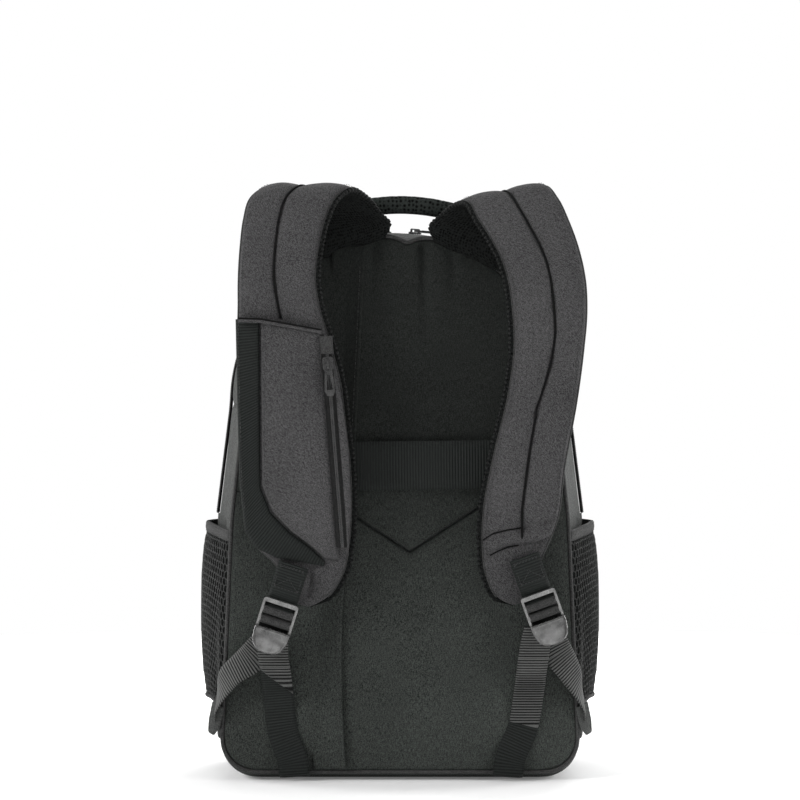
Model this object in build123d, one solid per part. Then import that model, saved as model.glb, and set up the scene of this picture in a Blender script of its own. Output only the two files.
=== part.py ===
"""School backpack: a round-topped main bag with padded straps, bottle pockets and zipped compartments.

Millimetres, +Z up. The wearer's side (back panel and straps) faces -Y and the front pockets face +Y.
Left and right are as seen by someone facing the strap side, so left is -X.
Everything is drawn with the back panel's outer face at y = 0, and moved at the end so that the origin
is the centre of the whole object's footprint, on the floor.
"""
from math import cos, radians, sin
import os

from build123d import *

# ---- driving dimensions --------------------------------------------------------------------------
PANEL_T = 8.0            # padded back panel
WALL = 3.0               # lined bag fabric
GAP = 0.3                # clearance between sewn pieces that are modelled apart
BAG_DEPTH = 150.0        # back panel face to front face
ZIP_Y = 85.0             # plane of the main zipper, where the bag is widest
ZIP_END_Z = 218.0        # the main zipper ends here, at the top of the bottle pockets
FLAP_HINGE_Z = 219.0     # the front folds forward about this line
SIDE_LOW_Z = 32.0        # seam between the base panel and the sides
WEBBING_W = 25.0
WEBBING_T = 1.5
BAND_Z = (241.0, 281.0)  # luggage band
BAND_OFF = 9.3           # it stands this far off the back panel
BAND_T = 1.6
STRAP_T = 6.0            # strap cover with its foam
STRAP_MESH_T = 4.0       # air-mesh lining of the strap
STRAP_HINGE = (4.0, 446.0)   # y and z of the seam that the straps hang from

# Outline of the bag at a few depths: (y, arch radius, arch centre z, waist half width, foot half width,
# bottom z, corner radius). The waist is at WAIST_Z, and depths between these are interpolated.
WAIST_Z = 215.0
BAG_STATIONS = (
    (8.0, 128.0, 325.0, 140.0, 148.0, 6.0, 28.0),
    (20.0, 132.0, 322.0, 144.0, 149.5, 0.0, 30.0),
    (85.0, 145.0, 312.0, 157.0, 153.0, 0.0, 32.0),
    (138.0, 136.0, 314.0, 146.0, 148.0, 0.0, 32.0),
    (150.0, 125.0, 316.0, 135.0, 138.0, 9.0, 28.0),
)

# Straps as stations from the seam at the top, over the shoulder bend and down to the tip:
# (x, y, z) of the middle, width, and slope of the width in degrees, positive where the +X edge is lower.
RIGHT_STRAP = (
    (54.0, 3.5, 444.5, 57.0, 24.0),
    (65.0, 1.0, 463.0, 56.0, 9.0),
    (77.0, -7.0, 478.0, 58.0, -4.0),
    (88.0, -20.0, 482.5, 63.0, -12.0),
    (96.5, -33.0, 470.0, 66.0, -14.0),
    (105.0, -41.0, 453.5, 64.0, -12.0),
    (113.5, -46.0, 433.0, 62.0, -7.0),
    (119.0, -49.0, 410.0, 61.0, -2.0),
    (121.0, -50.0, 386.0, 59.0, 0.0),
    (120.5, -48.0, 358.0, 55.5, 3.0),
    (116.0, -43.2, 320.0, 55.0, 8.0),
    (104.5, -35.2, 262.0, 58.0, 8.0),
    (98.5, -29.5, 222.0, 60.5, 4.0),
    (95.0, -26.3, 200.0, 55.0, -4.0),
    (92.5, -22.8, 176.0, 44.0, -14.0),
    (96.0, -19.9, 155.0, 26.0, -20.0),
)
LEFT_STRAP = (
    (-39.0, 3.5, 450.8, 57.0, -18.0),
    (-48.0, 1.0, 465.0, 60.0, -5.0),
    (-61.0, -7.0, 481.0, 64.0, 0.0),
    (-76.0, -20.0, 487.0, 68.0, 0.0),
    (-88.0, -33.0, 478.0, 68.0, 0.0),
    (-94.0, -41.0, 461.0, 65.0, 0.0),
    (-97.5, -46.0, 440.0, 62.5, 0.0),
    (-99.5, -49.5, 410.0, 61.5, 0.0),
    (-98.0, -50.0, 391.0, 64.5, 0.0),
    (-94.5, -48.0, 365.0, 73.0, 0.0),
    (-90.0, -44.0, 331.0, 82.0, 0.0),
    (-87.5, -40.0, 297.0, 85.5, 0.0),
    (-84.8, -34.5, 257.0, 88.5, 0.0),
    (-83.3, -29.5, 222.0, 86.5, 0.0),
    (-80.0, -25.8, 197.0, 76.0, 0.0),
    (-74.0, -22.8, 176.0, 54.0, 8.0),
    (-77.0, -19.9, 153.0, 26.0, 12.0),
)
STRAP_LEAN = 7.4         # lean of the strap's lower run from upright, in degrees

# Buckles: (x, z) of the centre, and tilt, positive where the thumb tab swings to +X.
BUCKLE_W = 29.6
BUCKLE_FRAME = 28.0
BUCKLE_TAB = 12.0
BUCKLE_T = 3.6
BUCKLE_Y = -29.9
BUCKLES = {"left": (-100.5, 137.5, -18.0), "right": (116.5, 144.5, 20.0)}

# Zippers
TAPE_EDGE = 10.0         # arched tapes reach this far from the zipper's middle
TAPE_T = 1.2
TAPE_SPLIT = 1.0         # half the gap between the two tapes, where the slider's post runs
SLIDER_L = 11.0
SLIDER_HALF_W = 4.4
WING_T = 1.0
PULL_L = 26.0
PIN_H = 1.25             # pull's pin above the slider's top wing


# ---- helpers -------------------------------------------------------------------------------------
def bag_values(y):
    """The outline's values at depth y, straight between the listed stations."""
    for low, high in zip(BAG_STATIONS, BAG_STATIONS[1:]):
        if y <= high[0]:
            t = (y - low[0]) / (high[0] - low[0])
            return [a + t * (b - a) for a, b in zip(low[1:], high[1:])]
    return list(BAG_STATIONS[-1][1:])


def bag_wire(y, inset=0.0):
    """Round-topped outline of the bag at depth y, drawn inset from the outer surface."""
    arch, spring, waist, foot, bottom, corner = bag_values(y)
    arch, waist, foot, bottom = arch - inset, waist - inset, foot - inset, bottom + inset
    corner = max(corner - inset, 5.0)
    diagonal = corner * (1 - cos(radians(45)))
    right = [
        (foot - corner, bottom),
        (foot - diagonal, bottom + diagonal),
        (foot, bottom + corner),
        (waist, WAIST_Z),
        (arch, spring),
        (arch * sin(radians(45)), spring + arch * cos(radians(45))),
        (0.0, spring + arch),
    ]
    at = [Vector(x, y, z) for x, z in right]
    mirrored = [Vector(-v.X, v.Y, v.Z) for v in at]
    edges = [
        Edge.make_line(mirrored[0], at[0]),
        Edge.make_three_point_arc(at[0], at[1], at[2]),
        Edge.make_line(at[2], at[3]),
        Edge.make_line(at[3], at[4]),
        Edge.make_three_point_arc(at[4], at[5], at[6]),
        Edge.make_three_point_arc(mirrored[6], mirrored[5], mirrored[4]),
        Edge.make_line(mirrored[4], mirrored[3]),
        Edge.make_line(mirrored[3], mirrored[2]),
        Edge.make_three_point_arc(mirrored[2], mirrored[1], mirrored[0]),
    ]
    return Wire(edges)


def bag_solid(y0, y1, inset=0.0):
    """The bag's filled shape between two depths."""
    depths = [y0] + [s[0] for s in BAG_STATIONS if y0 < s[0] < y1] + [y1]
    return Part() + Solid.make_loft([bag_wire(y, inset) for y in depths], ruled=True)


def block(x, y, z):
    """A box from three (low, high) pairs."""
    size = [b - a for a, b in (x, y, z)]
    centre = [(a + b) / 2 for a, b in (x, y, z)]
    return Pos(*centre) * Box(*size)


def band(centres, acrosses, widths, low, high):
    """A band lofted through its centres, between two heights off its centre surface."""
    wires = []
    last = len(centres) - 1
    for i, (centre, across, width) in enumerate(zip(centres, acrosses, widths)):
        along = centres[min(i + 1, last)] - centres[max(i - 1, 0)]
        out = along.cross(across).normalized()
        corners = [
            centre + across * side * width / 2 + out * height
            for side, height in ((-1, low), (-1, high), (1, high), (1, low))
        ]
        wires.append(Wire([Edge.make_line(a, b) for a, b in zip(corners, corners[1:] + corners[:1])]))
    return Part() + Solid.make_loft(wires, ruled=True)


def strap_layer(stations, low, high):
    """One layer of a shoulder strap, between two heights off its middle surface."""
    centres = [Vector(*s[:3]) for s in stations]
    acrosses = [Vector(cos(radians(s[4])), 0, -sin(radians(s[4]))) for s in stations]
    return band(centres, acrosses, [s[3] for s in stations], low, high)


def webbing(points):
    """Flat webbing through points (x, y, z, turn): its width turns this far from +X towards +Y."""
    centres = [Vector(*p[:3]) for p in points]
    last = len(centres) - 1
    acrosses = []
    for i, point in enumerate(points):
        along = (centres[min(i + 1, last)] - centres[max(i - 1, 0)]).normalized()
        across = Vector(cos(radians(point[3])), sin(radians(point[3])), 0)
        acrosses.append((across - along * across.dot(along)).normalized())
    widths = [WEBBING_W] * len(points)
    return band(centres, acrosses, widths, -WEBBING_T / 2, WEBBING_T / 2)


# ---- zipper hardware -----------------------------------------------------------------------------
# Local frame: X along the zipper, Z out of the fabric, and the tape's outer face at z = 0.
def slider(lift):
    """Slider body: two wings joined by a post, and a crown that holds the pull."""
    top = lift
    bottom = -TAPE_T - 0.5
    body = block((-SLIDER_L / 2, SLIDER_L / 2), (-SLIDER_HALF_W, SLIDER_HALF_W), (top, top + WING_T))
    body = fillet(body.edges().filter_by(Axis.Z), 2.2)
    low = block((-SLIDER_L / 2, SLIDER_L / 2), (-SLIDER_HALF_W, SLIDER_HALF_W), (bottom - WING_T, bottom))
    low = fillet(low.edges().filter_by(Axis.Z), 2.2)
    post = block((-SLIDER_L / 2 + 0.4, -SLIDER_L / 2 + 4.0), (-0.7, 0.7), (bottom - 0.2, top + 0.2))
    pin_z = top + WING_T + PIN_H
    crown = block((-4.2, 4.2), (-1.1, 1.1), (top + WING_T - 0.2, pin_z + 1.9))
    crown = fillet(crown.edges().filter_by(Axis.Y).group_by(Axis.Z)[-1], 1.2)
    window = block((-2.2, 2.2), (-2.0, 2.0), (top + WING_T, pin_z + 0.9))
    return body + low + post + crown - window


def pull(lift):
    """Pull: a pin through the crown, two arms beside it, and a tapered loop of moulded plastic."""
    pin_z = lift + WING_T + PIN_H
    pin = Pos(0, 0, pin_z) * Rot(90, 0, 0) * Cylinder(0.7, 5.6)
    arms = block((-0.8, 7.0), (-3.0, -1.5), (pin_z - 0.7, pin_z + 0.7))
    arms += block((-0.8, 7.0), (1.5, 3.0), (pin_z - 0.7, pin_z + 0.7))
    outline = make_face(Polyline(
        (5.5, -3.0), (PULL_L - 4, -4.4), (PULL_L, -2.4), (PULL_L, 2.4), (PULL_L - 4, 4.4), (5.5, 3.0), close=True
    ))
    hole = make_face(Polyline((9.0, -1.2), (PULL_L - 5, -2.3), (PULL_L - 5, 2.3), (9.0, 1.2), close=True))
    leaf = Pos(0, 0, pin_z - 0.9) * extrude(outline - hole, 1.8)
    return pin + arms + leaf


def tapes(length, half_width=9.0):
    """The two straight tapes of a closed zipper, centred on the local origin."""
    one = block((-length / 2, length / 2), (TAPE_SPLIT, half_width), (-TAPE_T, 0))
    other = block((-length / 2, length / 2), (-half_width, -TAPE_SPLIT), (-TAPE_T, 0))
    return Part() + [one, other]


def channel(length, half_width=9.0):
    """What is cut away round straight tapes and under their slider."""
    reach = half_width + GAP
    return block((-length / 2 - GAP, length / 2 + GAP), (-reach, reach), (-TAPE_T - 2.0, 10.0))


# ---- bag -----------------------------------------------------------------------------------------
SHELL_OUT = bag_solid(PANEL_T, BAG_DEPTH)
SHELL_IN = bag_solid(PANEL_T, BAG_DEPTH - WALL, WALL)
SHELL = SHELL_OUT - SHELL_IN
FAR = 400.0


def slab(x=(-FAR, FAR), y=(-FAR, FAR), z=(-FAR, 2 * FAR)):
    return block(x, y, z)


def side_panel(side):
    """Gusset between the back panel and the main zipper, from the base seam up to the arch."""
    x = (-FAR, -1.0) if side == "left" else (1.0, FAR)
    low = slab(x, (PANEL_T, ZIP_Y), (SIDE_LOW_Z, ZIP_END_Z))
    high = slab(x, (PANEL_T, ZIP_Y - TAPE_EDGE - GAP), (ZIP_END_Z - 0.1, BAG_STATIONS[2][2]))
    return (SHELL & low) + (SHELL & high)


def top_gusset():
    return SHELL & slab(y=(PANEL_T, ZIP_Y - TAPE_EDGE - GAP), z=(BAG_STATIONS[2][2] + GAP, 2 * FAR))


def base_panel():
    return SHELL & slab(z=(-FAR, SIDE_LOW_Z - GAP))


def lower_front_panel():
    return SHELL & slab(y=(ZIP_Y + GAP, FAR), z=(SIDE_LOW_Z, ZIP_END_Z))


def front_panel():
    """Upper front, which folds forward when the main zipper is open."""
    return SHELL & slab(y=(ZIP_Y + TAPE_EDGE + GAP, FAR), z=(FLAP_HINGE_Z + 1.0, 2 * FAR))


def main_tape(y0, y1, low_z):
    """One tape of the main zipper: a thin arch at the bag's widest outline."""
    width = y1 - y0
    outer = extrude(Face(bag_wire(ZIP_Y)), width, dir=(0, 1, 0))
    inner = extrude(Face(bag_wire(ZIP_Y, TAPE_T)), width, dir=(0, 1, 0))
    return Pos(0, y0 - ZIP_Y, 0) * (outer - inner) & slab(z=(low_z, 2 * FAR))


BACK_ZIP_L = 300.0
BACK_ZIP_RECESS = 3.2    # the hidden pocket's zipper is sunk this far into the padding
PLACKET = Pos(-48.0, 0, 228.0) * Rot(0, 2.7, 0)      # it leans, so its top is nearer the middle


def back_zip_place():
    along = Plane((0, BACK_ZIP_RECESS, 0), x_dir=(0, 0, -1), z_dir=(0, -1, 0))
    return PLACKET * along.location


def back_panel(upper):
    """The padded back panel, cut in two along its chevron seam."""
    whole = extrude(Face(bag_wire(PANEL_T, 2.0)), PANEL_T - GAP, dir=(0, -1, 0))
    whole = Pos(0, -GAP, 0) * whole
    tip_x, tip_z, shoulder_z, reach = 8.0, 189.0, 239.0, 78.0
    seam = [
        (-FAR, shoulder_z), (tip_x - reach, shoulder_z), (tip_x, tip_z),
        (tip_x + reach, shoulder_z), (FAR, shoulder_z),
    ]
    above = make_face(Plane.XZ * Polyline(*seam, (FAR, 2 * FAR), (-FAR, 2 * FAR), close=True))
    above = Pos(0, FAR / 2, 0) * extrude(above, FAR, dir=(0, -1, 0))
    panel = (whole & above) if upper else (whole - Pos(0, 0, -GAP) * above)
    return panel - back_zip_place() * channel(BACK_ZIP_L)


def placket():
    """Flap over the hidden pocket's zipper: sewn along its left edge, open along its right."""
    sewn, crease, free = -15.0, -9.0, 9.0
    profile = Polyline(
        (sewn, -GAP), (sewn, -1.6), (crease, -2.2), (free, -6.4), (free, -5.0), (crease, -GAP), close=True
    )
    return PLACKET * Pos(0, 0, -213.0) * extrude(make_face(profile), 424.0)


def luggage_band():
    """Wide webbing across the back panel for a trolley's handle, held at both side seams."""
    left = [(-130.5, -GAP), (-122.0, -GAP), (-110.0, -BAND_OFF), (0.0, -BAND_OFF)]
    path = left + [(-x, y) for x, y in reversed(left[:-1])]
    outer = [(x, y - BAND_T) for x, y in reversed(path)]
    return Pos(0, 0, BAND_Z[0]) * extrude(make_face(Polyline(*path, *outer, close=True)), BAND_Z[1] - BAND_Z[0])


def back_piping():
    """Piping round the seam between the back panel and the gussets."""
    outer = extrude(Face(bag_wire(PANEL_T, -1.7)), 3.4, dir=(0, -1, 0))
    inner = extrude(Face(bag_wire(PANEL_T, 1.7)), 3.4, dir=(0, -1, 0))
    return Pos(0, -GAP, 0) * (outer - inner)


def foam_board():
    inside = extrude(Face(bag_wire(PANEL_T, 6.0)), 4.0, dir=(0, 1, 0))
    return Pos(0, GAP, 0) * inside


DIVIDER_Y = 36.0


def laptop_divider():
    """Padded wall of the laptop sleeve."""
    plate = block((-118, 118), (DIVIDER_Y, DIVIDER_Y + 4), (6, 290))
    return fillet(plate.edges().filter_by(Axis.Y).group_by(Axis.Z)[-1], 20)


def laptop_strap():
    """Strap over the sleeve's mouth, from the foam board to the divider."""
    arch = block((-19, 19), (PANEL_T + 4.6, DIVIDER_Y - GAP), (292, 294))
    drop = block((-19, 19), (DIVIDER_Y - 1.8, DIVIDER_Y - GAP), (255, 293))
    rear = block((-19, 19), (PANEL_T + 4.6, PANEL_T + 6.4), (255, 293))
    return arch + drop + rear


# ---- bottle pockets ------------------------------------------------------------------------------
POCKET_Z = (64.0, 212.0)
BINDING_H = 9.0


def pocket_band(side, z0, z1, depth, thickness):
    """A bowed wall over the bag's side: its ends meet the side, and its middle stands off."""
    def bow(extra):
        return [(136.0 + extra * 0.4, 14.0 - extra * 0.5), (168.0 - depth + extra, 72.0), (140.0 + extra * 0.4, 140.0 + extra * 0.5)]

    inner, outer = bow(0.0), bow(thickness)
    profile = make_face([
        ThreePointArc(*inner),
        Line(inner[-1], outer[-1]),
        ThreePointArc(*reversed(outer)),
        Line(outer[0], inner[0]),
    ])
    wall = Pos(0, 0, z0) * extrude(profile, z1 - z0)
    wall = wall - bag_solid(PANEL_T, BAG_DEPTH - 0.5, -GAP)
    return mirror(wall, Plane.YZ) if side == "left" else wall


def bottle_pocket(side):
    """Mesh pocket: a bowed wall with a floor."""
    wall = pocket_band(side, POCKET_Z[0], POCKET_Z[1] - BINDING_H - GAP, 1.6, 1.6)
    floor = make_face([
        ThreePointArc((136.0, 14.0), (166.4, 72.0), (140.0, 140.0)),
        Line((140.0, 140.0), (136.0, 14.0)),
    ])
    floor = Pos(0, 0, POCKET_Z[0]) * extrude(floor, 2.0) - bag_solid(PANEL_T, BAG_DEPTH - 0.5, -GAP)
    floor = mirror(floor, Plane.YZ) if side == "left" else floor
    return wall + floor


def pocket_binding(side):
    return pocket_band(side, POCKET_Z[1] - BINDING_H, POCKET_Z[1], 1.8, 2.4)


def anchor_tab(side):
    """Fabric triangle low on the side panel, which the load webbing is sewn into."""
    outline = make_face(Plane.YZ * Polyline((13.0, 62.0), (42.0, 40.0), (40.0, 34.0), (13.0, 34.0), close=True))
    tab = extrude(outline, 200.0, dir=(1, 0, 0))
    tab = tab & (bag_solid(PANEL_T, ZIP_Y, -2.6) - bag_solid(PANEL_T, ZIP_Y, -GAP))
    return mirror(tab, Plane.YZ) if side == "left" else tab


# ---- front pocket --------------------------------------------------------------------------------
FRONT_W = 226.0
FRONT_Z = (20.0, 204.0)
FRONT_D = 36.0
FRONT_SPLIT = 20.0       # depth of the zipper's plane in front of the bag
FRONT_HINGE = (BAG_DEPTH + FRONT_D, FRONT_Z[0] + 6.0)


def front_pocket_shape(inset=0.0):
    """Rounded box on the lower front, hollow for the pocket."""
    box = block((-FRONT_W / 2 + inset, FRONT_W / 2 - inset), (BAG_DEPTH + GAP, BAG_DEPTH + FRONT_D - inset), (FRONT_Z[0] + inset, FRONT_Z[1] - inset))
    return fillet(box.edges().filter_by(Axis.Y), 26.0 - inset)


def front_pocket_part(y0, y1):
    shell = front_pocket_shape() - front_pocket_shape(2.4)
    return shell & slab(y=(y0, y1))


def front_pocket_rim():
    """Gusset of the front pocket, sewn to the bag, up to the zipper, with the strip below its hinge."""
    rim = front_pocket_part(BAG_DEPTH, BAG_DEPTH + FRONT_SPLIT - TAPE_EDGE - GAP)
    sill = front_pocket_part(BAG_DEPTH, BAG_DEPTH + FRONT_D - 3.0) & slab(z=(-FAR, FRONT_Z[0] + 2.4))
    return rim + sill


def front_pocket_face():
    """Front of the pocket, which folds down when its zipper is open."""
    face = front_pocket_part(BAG_DEPTH + FRONT_SPLIT + TAPE_EDGE + GAP, BAG_DEPTH + FRONT_D)
    return face & slab(z=(FRONT_Z[0] + 4.5, FAR))


def front_tape(y0, y1):
    outer = front_pocket_shape()
    ring = outer - front_pocket_shape(TAPE_T)
    return ring & slab(y=(y0, y1), z=(FRONT_Z[0] + 30.0, FAR))


def front_zip_place():
    return Pos(-70.0, BAG_DEPTH + FRONT_SPLIT, FRONT_Z[1])


# ---- slit pocket on the upper front --------------------------------------------------------------
SLIT_L = 170.0
SLIT_Z = 330.0
SLIT_T = 4.0


def slit_place():
    return Pos(0, BAG_DEPTH + SLIT_T, SLIT_Z) * Plane((0, 0, 0), x_dir=(1, 0, 0), z_dir=(0, 1, 0)).location


def slit_patch():
    """Facing round the slit pocket's zipper, sewn on the upper front."""
    outline = Plane.XZ * RectangleRounded(SLIT_L + 24, 44, 10)
    plate = Pos(0, BAG_DEPTH + SLIT_T, SLIT_Z) * extrude(outline, SLIT_T - GAP)
    return plate - slit_place() * channel(SLIT_L + 2)


# ---- grab handle ---------------------------------------------------------------------------------
HANDLE_Y = 20.0
HANDLE_HINGE_Z = 450.0
HANDLE_FOOT_X = 62.0
HANDLE_CREST_Z = 478.0


def grab_handle():
    """Padded carrying loop standing on the top gusset, behind the straps."""
    shoulder_x, shoulder_z, foot_z = 50.0, 472.0, 449.5
    path = FilletPolyline(
        (-HANDLE_FOOT_X, HANDLE_Y, foot_z), (-shoulder_x, HANDLE_Y, shoulder_z), (0, HANDLE_Y, HANDLE_CREST_Z),
        (shoulder_x, HANDLE_Y, shoulder_z), (HANDLE_FOOT_X, HANDLE_Y, foot_z), radius=14.0,
    )
    start = Plane(path @ 0, z_dir=path % 0, x_dir=(0, 1, 0))
    return sweep(start * RectangleRounded(15.0, 12.0, 5.0), path=path)


def handle_foot(sign):
    """Webbing patch sewn to the top gusset under each end of the grab handle."""
    skin = bag_solid(PANEL_T, ZIP_Y, -2.0) - bag_solid(PANEL_T, ZIP_Y, -GAP)
    x = sorted((sign * (HANDLE_FOOT_X - 11.0), sign * (HANDLE_FOOT_X + 11.0)))
    return skin & block(x, (HANDLE_Y - 8.0, HANDLE_Y + 10.0), (400.0, 460.0))


# ---- straps --------------------------------------------------------------------------------------
POCKET_T = 6.5
STRAP_ZIP_L = 176.0
STRAP_ZIP_TAPE = 5.5
STRAP_ZIP_LEAN = 4.3     # the zipper leans this far from the strap's own axis, in degrees
POCKET_PLANE = Plane(
    (-90.0, -44.4, 280.0), x_dir=(1, 0, 0), z_dir=(0, -cos(radians(STRAP_LEAN)), -sin(radians(STRAP_LEAN)))
)


def strap_pocket():
    """Flat zipped pocket on the left strap."""
    outline = Polyline(
        (-22, 101), (27, 93), (43, 33), (48, -6), (50, -50), (47, -95), (30, -96), (18, -84), (1.5, -72),
        (-14, -56), (-22, -38), close=True,
    )
    plate = POCKET_PLANE * extrude(make_face(outline), POCKET_T)
    return plate - strap_zip_place() * channel(STRAP_ZIP_L, STRAP_ZIP_TAPE)


def strap_zip_place():
    lean = radians(STRAP_ZIP_LEAN)
    along = Plane((36.8, 2.0, POCKET_T), x_dir=(sin(lean), -cos(lean), 0), z_dir=(0, 0, 1))
    return POCKET_PLANE.location * along.location


def strap_edge_webbing():
    """Webbing down the left strap's outer edge, which turns under the pocket towards the buckle."""
    outline = Polyline(
        (-41, 101), (-22.6, 101), (-22.6, -38.4), (-14.5, -56.6), (1, -72.6), (17.5, -84.6), (29, -96.5),
        (29, -101), (-10, -95), (-27, -87), (-35, -74), (-39, -30), close=True,
    )
    return POCKET_PLANE * extrude(make_face(outline), 1.6)


def buckle_place(side):
    x, z, tilt = BUCKLES[side]
    across = (cos(radians(tilt)), 0, sin(radians(tilt)))
    upright = Plane((x, BUCKLE_Y, z), x_dir=across, z_dir=(0, -1, 0)).location
    return upright * Rot(STRAP_LEAN, 0, 0)


def buckle():
    """Ladder-lock buckle: a frame with a top bar, three slots between bars, and a bent thumb tab."""
    half = BUCKLE_FRAME / 2
    frame = block((-BUCKLE_W / 2, BUCKLE_W / 2), (-half, half), (-BUCKLE_T / 2, BUCKLE_T / 2))
    frame = fillet(frame.edges().filter_by(Axis.Z), 2.5)
    bar, slot = 3.4, 4.8
    slot_x = (-WEBBING_W / 2 - 0.4, WEBBING_W / 2 + 0.4)
    top = half - bar
    for _ in range(3):
        frame -= block(slot_x, (top - slot, top), (-BUCKLE_T, BUCKLE_T))
        top -= slot + bar
    root, tip = -half + 1.0, -half - BUCKLE_TAB
    bend = Plane.YZ * Polyline((root, -BUCKLE_T / 2), (tip, 2.4), (tip, 4.8), (root, BUCKLE_T / 2), close=True)
    return frame + Pos(-12.0, 0, 0) * extrude(make_face(bend), 24.0, dir=(1, 0, 0))


def buckle_loop():
    """Webbing sewn to the strap's end, folded round the buckle's top bar."""
    half = BUCKLE_FRAME / 2
    x = (-WEBBING_W / 2, WEBBING_W / 2)
    near, far = BUCKLE_T / 2 + 0.8, BUCKLE_T / 2 + 2.3
    fold = (half - 6.3, half - 4.8)
    front = block(x, (fold[0], half + 31.5), (near, far))
    rear = block(x, (fold[0], half + 31.5), (-far, -near))
    under = block(x, fold, (-far, far))
    return front + rear + under


# ---- webbing below the buckles -------------------------------------------------------------------
# Load webbing runs from the buckle to the anchor tab, and the tail hangs in front of it.
LOAD_WEBBING = {
    "left": (
        (-104.0, -20.4, 126.0, 0.0), (-119.0, -15.0, 106.0, -10.0), (-142.0, -8.5, 86.0, -45.0),
        (-152.0, 4.0, 64.0, -84.0), (-153.8, 22.0, 50.0, -88.0),
    ),
    "right": (
        (119.0, -20.4, 133.0, 0.0), (128.0, -15.0, 111.0, 10.0), (142.0, -8.5, 88.0, 45.0),
        (152.0, 4.0, 64.0, 84.0), (153.8, 22.0, 50.0, 88.0),
    ),
}
TAIL_WEBBING = {
    "left": (
        (-103.5, -24.3, 122.0, 0.0), (-104.0, -21.3, 106.0, 0.0), (-102.0, -17.6, 92.0, 0.0),
        (-100.0, -5.5, 68.0, 0.0), (-97.0, -2.4, 42.0, 0.0), (-88.0, -2.4, 13.0, 0.0),
        (-87.5, -1.4, 6.4, 0.0), (-87.0, 2.0, 3.2, 0.0),
    ),
    "right": (
        (114.0, -24.3, 129.0, 0.0), (110.5, -21.3, 112.0, 0.0), (108.5, -17.6, 96.0, 0.0),
        (106.0, -5.5, 72.0, 0.0), (102.0, -2.4, 46.0, 0.0), (90.0, -2.4, 13.0, 0.0),
        (89.5, -1.4, 6.4, 0.0), (89.0, 2.0, 3.2, 0.0),
    ),
}


# ---- assembly ------------------------------------------------------------------------------------
MAIN_LIFT = 1.5
SMALL_LIFT = 0.6
MAIN_SLIDER_ANGLE = 5.0


def main_zip_place(side):
    """A main slider's place on the arch, with its pull pointing away from the other slider."""
    sign = -1 if side == "left" else 1
    radius, centre = BAG_STATIONS[2][1], BAG_STATIONS[2][2]
    angle = radians(sign * MAIN_SLIDER_ANGLE)
    out = (sin(angle), 0, cos(angle))
    along = (sign * cos(angle), 0, -sign * sin(angle))
    return Plane((radius * out[0], ZIP_Y, centre + radius * out[2]), x_dir=along, z_dir=out).location


def build():
    nodes = {
        "upper_back_panel": back_panel(True),
        "lower_back_panel": back_panel(False),
        "back_foam_board": foam_board(),
        "back_piping": back_piping(),
        "back_zip_placket": placket(),
        "back_zip_tapes": back_zip_place() * tapes(BACK_ZIP_L),
        "luggage_band": luggage_band(),
        "top_gusset": top_gusset(),
        "base_panel": base_panel(),
        "lower_front_panel": lower_front_panel(),
        "front_panel": front_panel(),
        "main_zip_rear_tape": main_tape(ZIP_Y - TAPE_EDGE, ZIP_Y - TAPE_SPLIT, ZIP_END_Z + GAP),
        "main_zip_front_tape": main_tape(ZIP_Y + TAPE_SPLIT, ZIP_Y + TAPE_EDGE, FLAP_HINGE_Z + 1.0),
        "laptop_divider": laptop_divider(),
        "laptop_strap": laptop_strap(),
        "grab_handle": grab_handle(),
        "handle_feet": Part() + [handle_foot(-1), handle_foot(1)],
        "front_pocket_rim": front_pocket_rim(),
        "front_pocket_face": front_pocket_face(),
        "front_zip_rear_tape": front_tape(BAG_DEPTH + FRONT_SPLIT - TAPE_EDGE, BAG_DEPTH + FRONT_SPLIT - TAPE_SPLIT),
        "front_zip_face_tape": front_tape(BAG_DEPTH + FRONT_SPLIT + TAPE_SPLIT, BAG_DEPTH + FRONT_SPLIT + TAPE_EDGE),
        "slit_pocket_facing": slit_patch(),
        "slit_zip_tapes": slit_place() * tapes(SLIT_L),
        "strap_pocket": strap_pocket(),
        "strap_pocket_zip_tapes": strap_zip_place() * tapes(STRAP_ZIP_L, STRAP_ZIP_TAPE),
        "strap_edge_webbing": strap_edge_webbing(),
    }
    for side, stations in (("left", LEFT_STRAP), ("right", RIGHT_STRAP)):
        nodes[f"{side}_side_panel"] = side_panel(side)
        nodes[f"{side}_bottle_pocket"] = bottle_pocket(side)
        nodes[f"{side}_pocket_binding"] = pocket_binding(side)
        nodes[f"{side}_anchor_tab"] = anchor_tab(side)
        nodes[f"{side}_strap_cover"] = strap_layer(stations, 0.2, STRAP_T)
        nodes[f"{side}_strap_lining"] = strap_layer(stations, -STRAP_MESH_T, 0.0)
        nodes[f"{side}_buckle_loop"] = buckle_place(side) * buckle_loop()
        nodes[f"{side}_buckle"] = buckle_place(side) * buckle()
        nodes[f"{side}_load_webbing"] = webbing(LOAD_WEBBING[side])
        nodes[f"{side}_tail_webbing"] = webbing(TAIL_WEBBING[side])
        nodes[f"main_zip_{side}_slider"] = main_zip_place(side) * slider(MAIN_LIFT)
        nodes[f"main_zip_{side}_pull"] = main_zip_place(side) * pull(MAIN_LIFT)
    small = {
        "front_zip": front_zip_place(),
        "slit_zip": slit_place() * Pos(-70, 0, 0),
        "strap_zip": strap_zip_place() * Pos(-64, 0, 0),
        "back_zip": back_zip_place() * Pos(-130, 0, 0),
    }
    for name, place in small.items():
        nodes[f"{name}_slider"] = place * slider(SMALL_LIFT)
        nodes[f"{name}_pull"] = place * pull(SMALL_LIFT)
    return nodes


def main():
    nodes = build()
    whole = Compound(children=[Compound(s.solids()) for s in nodes.values()]).bounding_box()
    home = Pos(-whole.center().X, -whole.center().Y, -whole.min.Z)
    print("moved to the origin by", tuple(home.position))
    os.makedirs("parts", exist_ok=True)
    for name, shape in nodes.items():
        solids = (home * shape).solids()
        export_step(solids[0] if len(solids) == 1 else Compound(solids), f"parts/{name}.step")


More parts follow.
